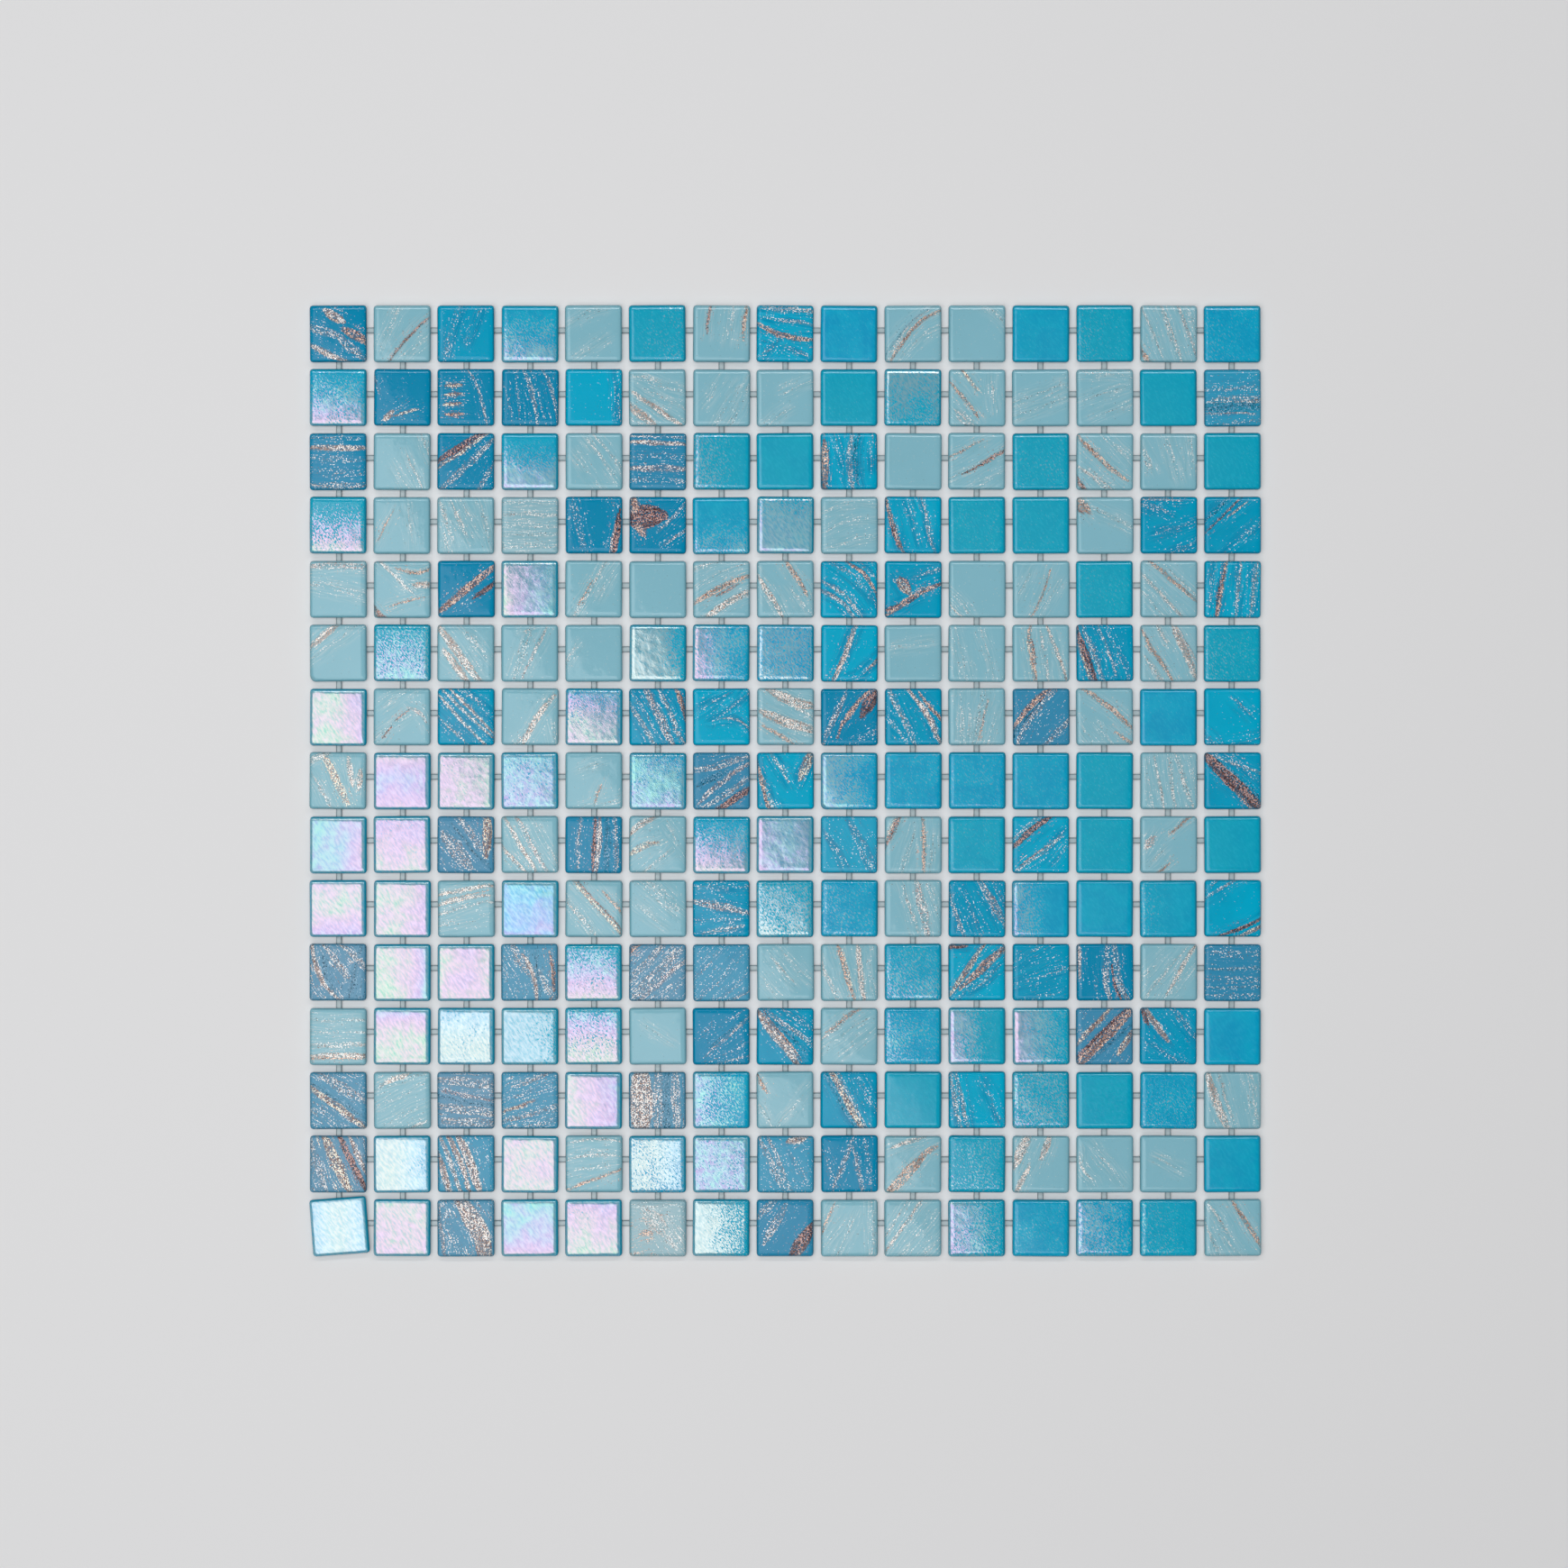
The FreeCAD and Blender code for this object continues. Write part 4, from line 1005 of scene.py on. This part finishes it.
def aventurine_glass(name, body, body_deep, rim_shade_colour, milk, fleck_amount, dark_share, ground, skin):
    """Opaque glass with metal glitter along the bands that its tiles carry."""
    material, shader, add = new_material(name)
    on_tile, seed, shade = (add(ATTRIBUTE, attribute_name=word).outputs["Vector"]
                            for word in ("tile_mm", "seed", "shade"))
    per_tile = add(SPLIT, shade).outputs
    own = add(VECTOR, "ADD", on_tile, seed)
    swirl = add(NOISE, noise_dimensions="2D", Vector=own, Scale=1 / SWIRL_SIZE, Detail=3.0)
    push = add(VECTOR, "SUBTRACT", swirl.outputs["Color"], 0.5)
    bent = add(VECTOR, "MULTIPLY_ADD", push, WAVER, on_tile)

    depth, flow, tone, density = deepest_band(add, bent)
    threads, wide_threads = threads_along(add, flow, seed)
    inside, near, in_band, in_all = metal_here(add, depth, density, threads, per_tile["Y"], fleck_amount)
    fleck, glint_chance, lean = flecks_at(add, own, in_all)
    wide_core = add(RANGE, Value=wide_threads, From_Min=0.56, From_Max=0.64, To_Max=0.75)
    core = add(MATH, "MULTIPLY", add(MATH, "MULTIPLY", wide_core, inside), density)
    metal = metal_colour(add, tone, glint_chance, dark_share, core)
    glass = glass_colour(add, body, body_deep, milk, per_tile, swirl, threads, wide_threads, near)
    ground_here = add(MATH, "MULTIPLY", add(MATH, "MULTIPLY", in_band, density), ground)
    stained = add(MIX, data_type="RGBA", Factor=ground_here, A=glass, B=add(VECTOR, "MULTIPLY", tone, STAIN))
    colour = add(MIX, data_type="RGBA", Factor=fleck, A=stained, B=metal)
    rim = furthest_out(add, on_tile)

    ripple = add(NOISE, noise_dimensions="2D", Vector=own, Scale=1 / RIPPLE_SIZE, Detail=3.0)
    bump = add(BUMP, Strength=1.0, Distance=RIPPLE_DEPTH, Height=ripple)
    lean_here = add(VECTOR, "SCALE", lean, Scale=fleck)
    leaned = add(VECTOR, "MULTIPLY_ADD", lean_here, FLECK_LEAN, bump)
    add(shader, Base_Color=foot_painted_lighter(add, rim, with_painted_rim_shade(add, rim, colour, rim_shade_colour)),
        Metallic=add(MATH, "MULTIPLY", fleck, FLECK_METAL),
        Roughness=add(RANGE, Value=fleck, To_Min=0.18, To_Max=0.42),
        Normal=add(VECTOR, "NORMALIZE", leaned), Coat_Normal=bump, IOR=GLASS_IOR,
        Specular_IOR_Level=GLASS_GLOSS, Coat_Weight=skin, Coat_Roughness=SKIN_ROUGHNESS, Coat_IOR=GLASS_IOR)
    return material


# Each glass's third colour is the painted shade of its rim outline.
TURQUOISE_GLASS = aventurine_glass("deep_turquoise_aventurine_glass", "#00A8CC", "#0082AC", "#007493",
                                   milk=0.04, fleck_amount=0.36, dark_share=0.22, ground=0.85, skin=0.35)
AQUA_GLASS = aventurine_glass("pale_aqua_aventurine_glass", "#86BDCD", "#7DB2C0", "#5F9CAB",
                              milk=0.40, fleck_amount=0.32, dark_share=0.08, ground=0.60, skin=0.85)
print("aventurine nodes:", len(TURQUOISE_GLASS.node_tree.nodes))

# %% [markdown]
# Pearl glass: the same pressed glass with a film of metal oxide fired on to its face. The
# Principled shader has a thin film layer that works out the interference colours from a thickness
# and an IOR, so the colours move with the light as they should. The film's thickness and its cover
# are each a number in the middle of the tile and its change per millimetre. Soft clouds vary them
# both. The cover is compared with fine grains, so that a thin mist leaves bare glass between them.

# %% The film and its cover at a point
GRAIN_WIDTH = 0.42
GRAIN_LENGTH = 2.2 * GRAIN_WIDTH
BRUSH_WIDTH = 0.75
BRUSH_LENGTH = 2.2
BRUSH_TURN = math.radians(55)
CLOUD_SCALE = 0.13
FILM_CLOUDS = 13.0
FULL_CLOUDS_NM = 250.0
PATCHINESS = 3.0
SPREAD = 1.3


def drifting(add, on_tile, word, **settings):
    """A value that a tile carries, here: in the middle of the tile, plus its change on the way."""
    parts = add(SPLIT, add(ATTRIBUTE, attribute_name=word).outputs["Vector"]).outputs
    way = add(JOIN, X=parts["Y"], Y=parts["Z"])
    return add(MATH, "ADD", parts["X"], add(VECTOR, "DOT_PRODUCT", on_tile, way), **settings), parts["X"]


def film_nanometres(add, on_tile, cloud_signed):
    """How thick the film is: its drift, less its crown's fall towards the edges, plus the clouds."""
    slope, in_middle = drifting(add, on_tile, "film")
    crown = add(ATTRIBUTE, attribute_name="crown").outputs["Vector"]
    squared = add(VECTOR, "MULTIPLY", on_tile, on_tile)
    thick = add(MATH, "SUBTRACT", slope, add(VECTOR, "DOT_PRODUCT", squared, crown))
    cloud_reach = add(RANGE, Value=in_middle, From_Max=FULL_CLOUDS_NM, To_Max=4 * FILM_CLOUDS)
    return add(MATH, "MULTIPLY_ADD", cloud_signed, cloud_reach, thick)


def film_cover(add, on_tile, cloud_signed, grain):
    """How well the film covers a point between the grains, and its even cover without them."""
    even, _ = drifting(add, on_tile, "cover", use_clamp=True)
    doubt = add(MATH, "MULTIPLY", even, add(MATH, "SUBTRACT", 1.0, even))
    patch_size = add(MATH, "MULTIPLY", doubt, PATCHINESS)
    patchy = add(MATH, "MULTIPLY_ADD", cloud_signed, patch_size, even)
    grain_level = add(RANGE, Value=grain, From_Min=0.30, From_Max=0.70)
    margin = add(MATH, "SUBTRACT", add(MATH, "MULTIPLY", patchy, SPREAD), grain_level)
    return add(RANGE, Value=margin, From_Max=0.30), even


print("brush marks in mm:", BRUSH_LENGTH, "by", BRUSH_WIDTH)

# %% [markdown]
# Below the film the teal glass drifts a little from tile to tile and in soft clouds, and where there is film
# a pale milk is painted on it, as the sheen of the light that the film scatters.

# %% The teal glass below the film
# The share of pale milk painted on where there is film, as its sheen.
PAINTED_FILM_SHEEN = 0.45
TEAL = ("#00A0C0", "#0098C6")
LIGHTER_TEAL = ("#04ACC6", "#04A4CC")
# A darker bare teal for the flanks, which also paints the shade on the right and top shoulders past the
# film's end.
SHADED_BARE_FLANK = "#108CAA"


def teal_glass(add, chance, clouds, brush, milky):
    """The turquoise below the film, bluer or lighter by tile and by cloud, with specks, and with milk painted
    on as the film's sheen.
    """
    bluer = add(RANGE, Value=chance, From_Min=0.4, From_Max=1.0)
    body, lighter = (add(MIX, data_type="RGBA", Factor=bluer, A=pair[0], B=pair[1])
                     for pair in (TEAL, LIGHTER_TEAL))
    mottle = add(RANGE, Value=clouds, From_Min=0.35, From_Max=0.68)
    mottled = add(MIX, data_type="RGBA", Factor=add(MATH, "MULTIPLY", mottle, chance), A=body, B=lighter)
    speck = add(RANGE, Value=brush, From_Min=0.46, From_Max=0.70, To_Max=0.17)
    specked = add(MIX, data_type="RGBA", Factor=speck, A=mottled, B="#38C6DE")
    # The milk is painted sheen.
    return add(MIX, data_type="RGBA", Factor=milky, A=specked, B="#BCD4D8")


print("teal as linear:", [round(part, 3) for part in linear(TEAL[0])])

# %% [markdown]
# One even film would be gaudy. The real one is several layers deep, which mirror much of the light alike in
# all colours, so a coat with a high IOR adds that white lustre. Short brush marks run across it. The film
# ends at the shoulder, and sooner on the right and top sides, where those shoulders turn away from the soft
# box: there a darker bare teal paints their shade. The flanks show bare teal. Fine pits scatter the shine
# into small sparkles, where there is film, and the face waves a little more there.

# %% Pearl glass
FILM_IOR = 2.02
LUSTRE_IOR = 2.36
LUSTRE_ROUGHNESS = 0.16
# The film's end is shifted this far towards the lower left, in mm, which paints shade on the right and top
# shoulders.
SHADE_SHIFT = (0.45, 0.25, 0.0)
WAVE_SIZE = 5.0
WAVE_DEPTH = 0.12 * MM
PIT_DEPTH = 0.03 * MM


def pearl_glass(name):
    """Turquoise glass with an iridescent film that drifts across each tile."""
    material, shader, add = new_material(name)
    on_tile, seed, shade = (add(ATTRIBUTE, attribute_name=word).outputs["Vector"]
                            for word in ("tile_mm", "seed", "shade"))
    own = add(VECTOR, "ADD", on_tile, seed)
    clouds = add(NOISE, noise_dimensions="2D", Vector=own, Scale=CLOUD_SCALE, Detail=3.0, Roughness=0.55,
                 Distortion=0.4)
    cloud_signed = add(MATH, "SUBTRACT", clouds, 0.5)
    turned = add("ShaderNodeVectorRotate", rotation_type="Z_AXIS", Vector=own, Angle=BRUSH_TURN)
    brush, grain = (
        add(NOISE, noise_dimensions="2D", Scale=1.0, Detail=2.0,
            Vector=add(VECTOR, "MULTIPLY", turned, (1 / length, 1 / width, 0)))
        for length, width in ((BRUSH_LENGTH, BRUSH_WIDTH), (GRAIN_LENGTH, GRAIN_WIDTH)))
    brushed = add(RANGE, Value=brush, From_Min=0.32, From_Max=0.63, To_Min=0.42, To_Max=1.0)
    film_here, even = film_cover(add, on_tile, cloud_signed, grain)

    # The rim is measured from a shifted point, so the film ends sooner on the right and top, and painted
    # shade shows there.
    rim = furthest_out(add, add(VECTOR, "ADD", on_tile, SHADE_SHIFT))
    on_face = add(RANGE, Value=rim, From_Min=HALF_MM - 0.55, From_Max=HALF_MM + 0.05, To_Min=1.0, To_Max=0.0)
    on_flat = add(RANGE, Value=rim, From_Min=HALF_MM - 1.1, From_Max=HALF_MM - 0.6, To_Min=1.0, To_Max=0.0)
    rounded = add(RANGE, Value=rim, From_Min=HALF_MM - 0.9, From_Max=HALF_MM - 0.5, To_Max=0.5)
    on_film = add(MATH, "MULTIPLY", add(MATH, "MAXIMUM", film_here, rounded), on_face)
    is_film = add(MATH, "GREATER_THAN", on_film, 0.4)
    streaked = add(RANGE, Value=brush, From_Min=0.3, From_Max=0.7, To_Min=0.97, To_Max=1.03)
    brushed_film = add(MATH, "MULTIPLY", film_nanometres(add, on_tile, cloud_signed), streaked)
    thickness = add(MATH, "MULTIPLY", brushed_film, add(MATH, "MULTIPLY", is_film, on_flat))

    # Painted sheen: milk where there is film, along the brush marks.
    milky = add(MATH, "MULTIPLY", add(MATH, "MULTIPLY", film_here, PAINTED_FILM_SHEEN), brushed)
    face = teal_glass(add, add(SPLIT, shade).outputs["X"], clouds, brush, milky)
    # The bare flank: darker as painted shade near the rim, and painted paler towards its foot.
    flank = foot_painted_lighter(add, rim, SHADED_BARE_FLANK)
    ripple = add(NOISE, noise_dimensions="2D", Vector=own, Scale=1 / WAVE_SIZE, Detail=2.0)
    wave_strength = add(MATH, "MULTIPLY_ADD", even, 0.70, 0.30)
    waves = add(BUMP, Strength=wave_strength, Distance=WAVE_DEPTH, Height=ripple)
    pit_strength = add(MATH, "MULTIPLY_ADD", film_here, 0.35, 0.10)
    pits = add(BUMP, Strength=pit_strength, Distance=PIT_DEPTH, Height=grain, Normal=waves)
    add(shader, Base_Color=add(MIX, data_type="RGBA", Factor=on_face, A=flank, B=face),
        Roughness=add(RANGE, Value=grain, From_Min=0.3, From_Max=0.7, To_Min=0.09, To_Max=0.19),
        Normal=pits, IOR=GLASS_IOR, Thin_Film_Thickness=thickness, Thin_Film_IOR=FILM_IOR,
        Coat_Weight=add(MATH, "MULTIPLY", on_film, brushed), Coat_Normal=pits, Coat_IOR=LUSTRE_IOR,
        Coat_Roughness=LUSTRE_ROUGHNESS)
    return material


PEARL_GLASS = pearl_glass("iridescent_pearl_glass")
print("pearl nodes:", len(PEARL_GLASS.node_tree.nodes))

# %% [markdown]
# The three kinds of glass go on their rows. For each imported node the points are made, the tree
# runs on them, and the result is turned into a plain mesh, which then stands for that node.

# %% Make the tiles
GLASS = {"pearl_tiles": (PEARL_GLASS, "pearl_glass"), "turquoise_tiles": (TURQUOISE_GLASS, "turquoise_glass"),
         "aqua_tiles": (AQUA_GLASS, "aqua_glass")}


def socket_id(tree, name):
    """The identifier that a modifier knows a tree's input by."""
    return next(s.identifier for s in tree.interface.items_tree if s.name == name and s.in_out == "INPUT")


def make_rows(node_name, places):
    """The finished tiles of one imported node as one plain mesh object."""
    kind = node_name.split("_", 3)[3]
    glass, slot = GLASS[kind]
    points = bpy.data.objects.new(node_name + "_points", tile_points(node_name + "_points", places))
    bpy.context.scene.collection.objects.link(points)
    modifier = points.modifiers.new("rows", "NODES")
    modifier.node_group = TILE_ROWS
    modifier[socket_id(TILE_ROWS, "Glass")] = glass
    evaluated = points.evaluated_get(bpy.context.evaluated_depsgraph_get())
    mesh = bpy.data.meshes.new_from_object(evaluated)
    mesh.name = "pressed_" + node_name
    bpy.data.objects.remove(points)
    tiles = bpy.data.objects.new("pressed_" + node_name, mesh)
    bpy.context.scene.collection.objects.link(tiles)
    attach(tiles, "root")
    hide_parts(node_name)
    return tiles


TILES = [make_rows(name, PLACES[name]) for name in sorted(PLACES)]
print("tile faces in all:", sum(len(tiles.data.polygons) for tiles in TILES))

# %% [markdown]
# The bars are clear hot-melt plastic, moulded across the joints. The imported ones already have the right
# shape, so they stay and only get their finish. Seen from above, clear plastic is dark along its two curved
# sides, where it bends the light away, and light along its flat middle, so that shade is painted along the
# sides. The bars stand on exact grid lines, so how far a point is from its bar's middle line is worked out
# from its own place, by folding it into one pitch.

# %% Clear bars
BAR_HALF_WIDTH = 1.0
SIDE_BAR_OFFSET = 1.4
PLASTIC_IOR = 1.48


def clear_plastic(name, axis, offset):
    """Greyish clear plastic with painted shade along its sides, for bars whose middle lines repeat along an
    axis.
    """
    material, shader, add = new_material(name)
    in_mm = add(VECTOR, "SCALE", add("ShaderNodeTexCoord").outputs["Object"], Scale=1 / MM)
    shifted = add(MATH, "SUBTRACT", add(SPLIT, in_mm).outputs[axis], offset)
    folded = add(MATH, "PINGPONG", shifted, PITCH / MM / 2)
    # How far into the painted shade along the bar's sides a point is.
    side = add(RANGE, interpolation_type="SMOOTHSTEP", Value=folded, From_Min=0.45 * BAR_HALF_WIDTH,
               From_Max=0.80 * BAR_HALF_WIDTH)
    streak = add(NOISE, Vector=in_mm, Scale=1.4, Detail=2.0)
    middle = add(MIX, data_type="RGBA", Factor=streak, A="#A6B4B8", B="#B6C2C5")
    # 83949A is the painted shade of the sides.
    add(shader, Base_Color=add(MIX, data_type="RGBA", Factor=side, A=middle, B="#83949A"), Roughness=0.28,
        Normal=add(BUMP, Strength=0.6, Distance=0.05 * MM, Height=streak), IOR=PLASTIC_IOR)
    return material


for bar_node, bar_axis, bar_offset in (("bars_between_columns", "Y", SIDE_BAR_OFFSET),
                                       ("bars_between_rows", "X", 0.0)):
    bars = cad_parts[bar_node]
    bars.data.materials.clear()
    bars.data.materials.append(clear_plastic("clear_" + bar_node, bar_axis, bar_offset))
print("bars dressed")

# %% [markdown]
# The floor is a plain pale panel and isn't part of the object. The lamps only reach so far, and a
# low view would show it fading into a dark room. So from half a metre out the floor shows the eye
# a plain pale tone of its own, and so does the room. On the floor only camera, glossy and
# transmission rays see that tone, and in the room only camera rays do, so it adds no light.

# %% Floor
FLOOR_REACH = 6.0
FLOOR_LEVEL = -0.02 * MM
FADE_START = 0.45
FADE_END = 1.10
BACKDROP = "#D5D6D7"


def seen_directly(add, rays):
    """One for the named kinds of rays, nought for the rays that carry light about."""
    path = add("ShaderNodeLightPath").outputs
    seen = path[rays[0]]
    for ray in rays[1:]:
        seen = add(MATH, "MAXIMUM", seen, path[ray])
    return seen


def make_floor():
    """A plain pale floor under the sheet."""
    mesh = bpy.data.meshes.new("floor")
    signs = ((-1, -1), (1, -1), (1, 1), (-1, 1))
    mesh.from_pydata([(x * FLOOR_REACH, y * FLOOR_REACH, FLOOR_LEVEL) for x, y in signs], [], [(0, 1, 2, 3)])
    floor = bpy.data.objects.new("floor", mesh)
    bpy.context.scene.collection.objects.link(floor)
    material, shader, add = new_material("pale_matt_floor")
    add(shader, Base_Color="#E2E2E3", Roughness=0.8, Specular_IOR_Level=0.2)
    distance = add(VECTOR, "LENGTH", add("ShaderNodeTexCoord").outputs["Object"])
    far = add(RANGE, interpolation_type="SMOOTHSTEP", Value=distance, From_Min=FADE_START, From_Max=FADE_END)
    seen = seen_directly(add, ["Is Camera Ray", "Is Glossy Ray", "Is Transmission Ray"])
    plain = add("ShaderNodeEmission", Color=BACKDROP)
    mixed = add("ShaderNodeMixShader", add(MATH, "MULTIPLY", far, seen), shader, plain)
    add(material.node_tree.nodes["Material Output"], Surface=mixed)
    mesh.materials.append(material)
    return floor


print("floor made:", make_floor().name)

# %% [markdown]
# Plain studio light. A soft lamp hangs straight overhead and lights the joints down to the floor.
# In a studio a pair of polarising filters turns the mirror image of such a lamp off, so it is
# hidden from glossy rays here. The other lamps do mirror in the glass. A large soft box hangs over
# the lower left, just outside what the tiles at the upper right mirror, and the tiles at the lower
# left mirror it in full: there the pearl film shines. A slim strip beyond the top edge draws the
# thin bright lines on the rounded shoulders. The room itself is nearly dark, because glossy glass
# mirrors all of it.

# %% Light
LAMPS = {
    "overhead": {"place": (0.0, 0.0, 2.20), "size": (0.90, 0.90), "turn": 0.0, "radiance": 8.2},
    "soft_box": {"place": (-0.66, -0.445, 1.80), "size": (1.80, 1.39), "turn": -54.5, "radiance": 1.98},
    "top_strip": {"place": (0.0, 1.00, 1.80), "size": (2.40, 0.28), "turn": 0.0, "radiance": 5.5},
}
POLARISED = ["overhead"]
ROOM_LEVEL = 0.03


def add_lamp(name, place, size, turn, radiance):
    """A flat rectangular lamp that faces down, of this brightness as the eye sees it."""
    data = bpy.data.lights.new(name, "AREA")
    data.shape = "RECTANGLE"
    data.size, data.size_y = size
    data.energy = radiance * math.pi * size[0] * size[1]
    lamp = bpy.data.objects.new(name, data)
    lamp.location = place
    lamp.rotation_euler = (0, 0, math.radians(turn))
    lamp.visible_glossy = name not in POLARISED
    bpy.context.scene.collection.objects.link(lamp)


def make_room():
    """A nearly dark room that shows the camera the plain backdrop."""
    world = bpy.data.worlds.new("dim_room")
    world.use_nodes = True
    nodes = world.node_tree.nodes
    add = partial(node, world.node_tree)
    dim = add(nodes["Background"], Color="#FFFFFF", Strength=ROOM_LEVEL)
    backdrop = add("ShaderNodeBackground", Color=BACKDROP)
    both = add("ShaderNodeMixShader", seen_directly(add, ["Is Camera Ray"]), dim, backdrop)
    add(nodes["World Output"], Surface=both)
    bpy.context.scene.world = world


for lamp_name, lamp_values in LAMPS.items():
    add_lamp(lamp_name, **lamp_values)
make_room()

# %% [markdown]
# The camera hangs straight above the sheet and looks down on it, as the picture was taken. At the
# level of the glass faces the square picture takes in about 538 mm, and its middle lies a little
# below and left of the sheet's middle.

# %% Camera
CAMERA_HEIGHT = 1.25
VIEW_WIDTH = 538.4 * MM
SENSOR_WIDTH = 36.0
AIM_X = -0.46 * MM
AIM_Y = -1.08 * MM

camera_data = bpy.data.cameras.new("camera")
camera_data.sensor_width = SENSOR_WIDTH
camera_data.lens = SENSOR_WIDTH * (CAMERA_HEIGHT - TILE_THICKNESS) / VIEW_WIDTH
camera = bpy.data.objects.new("camera", camera_data)
camera.location = (AIM_X, AIM_Y, CAMERA_HEIGHT)
bpy.context.scene.collection.objects.link(camera)
bpy.context.scene.camera = camera
bpy.context.scene.view_settings.view_transform = "Standard"
print("lens in mm:", round(camera_data.lens, 1))
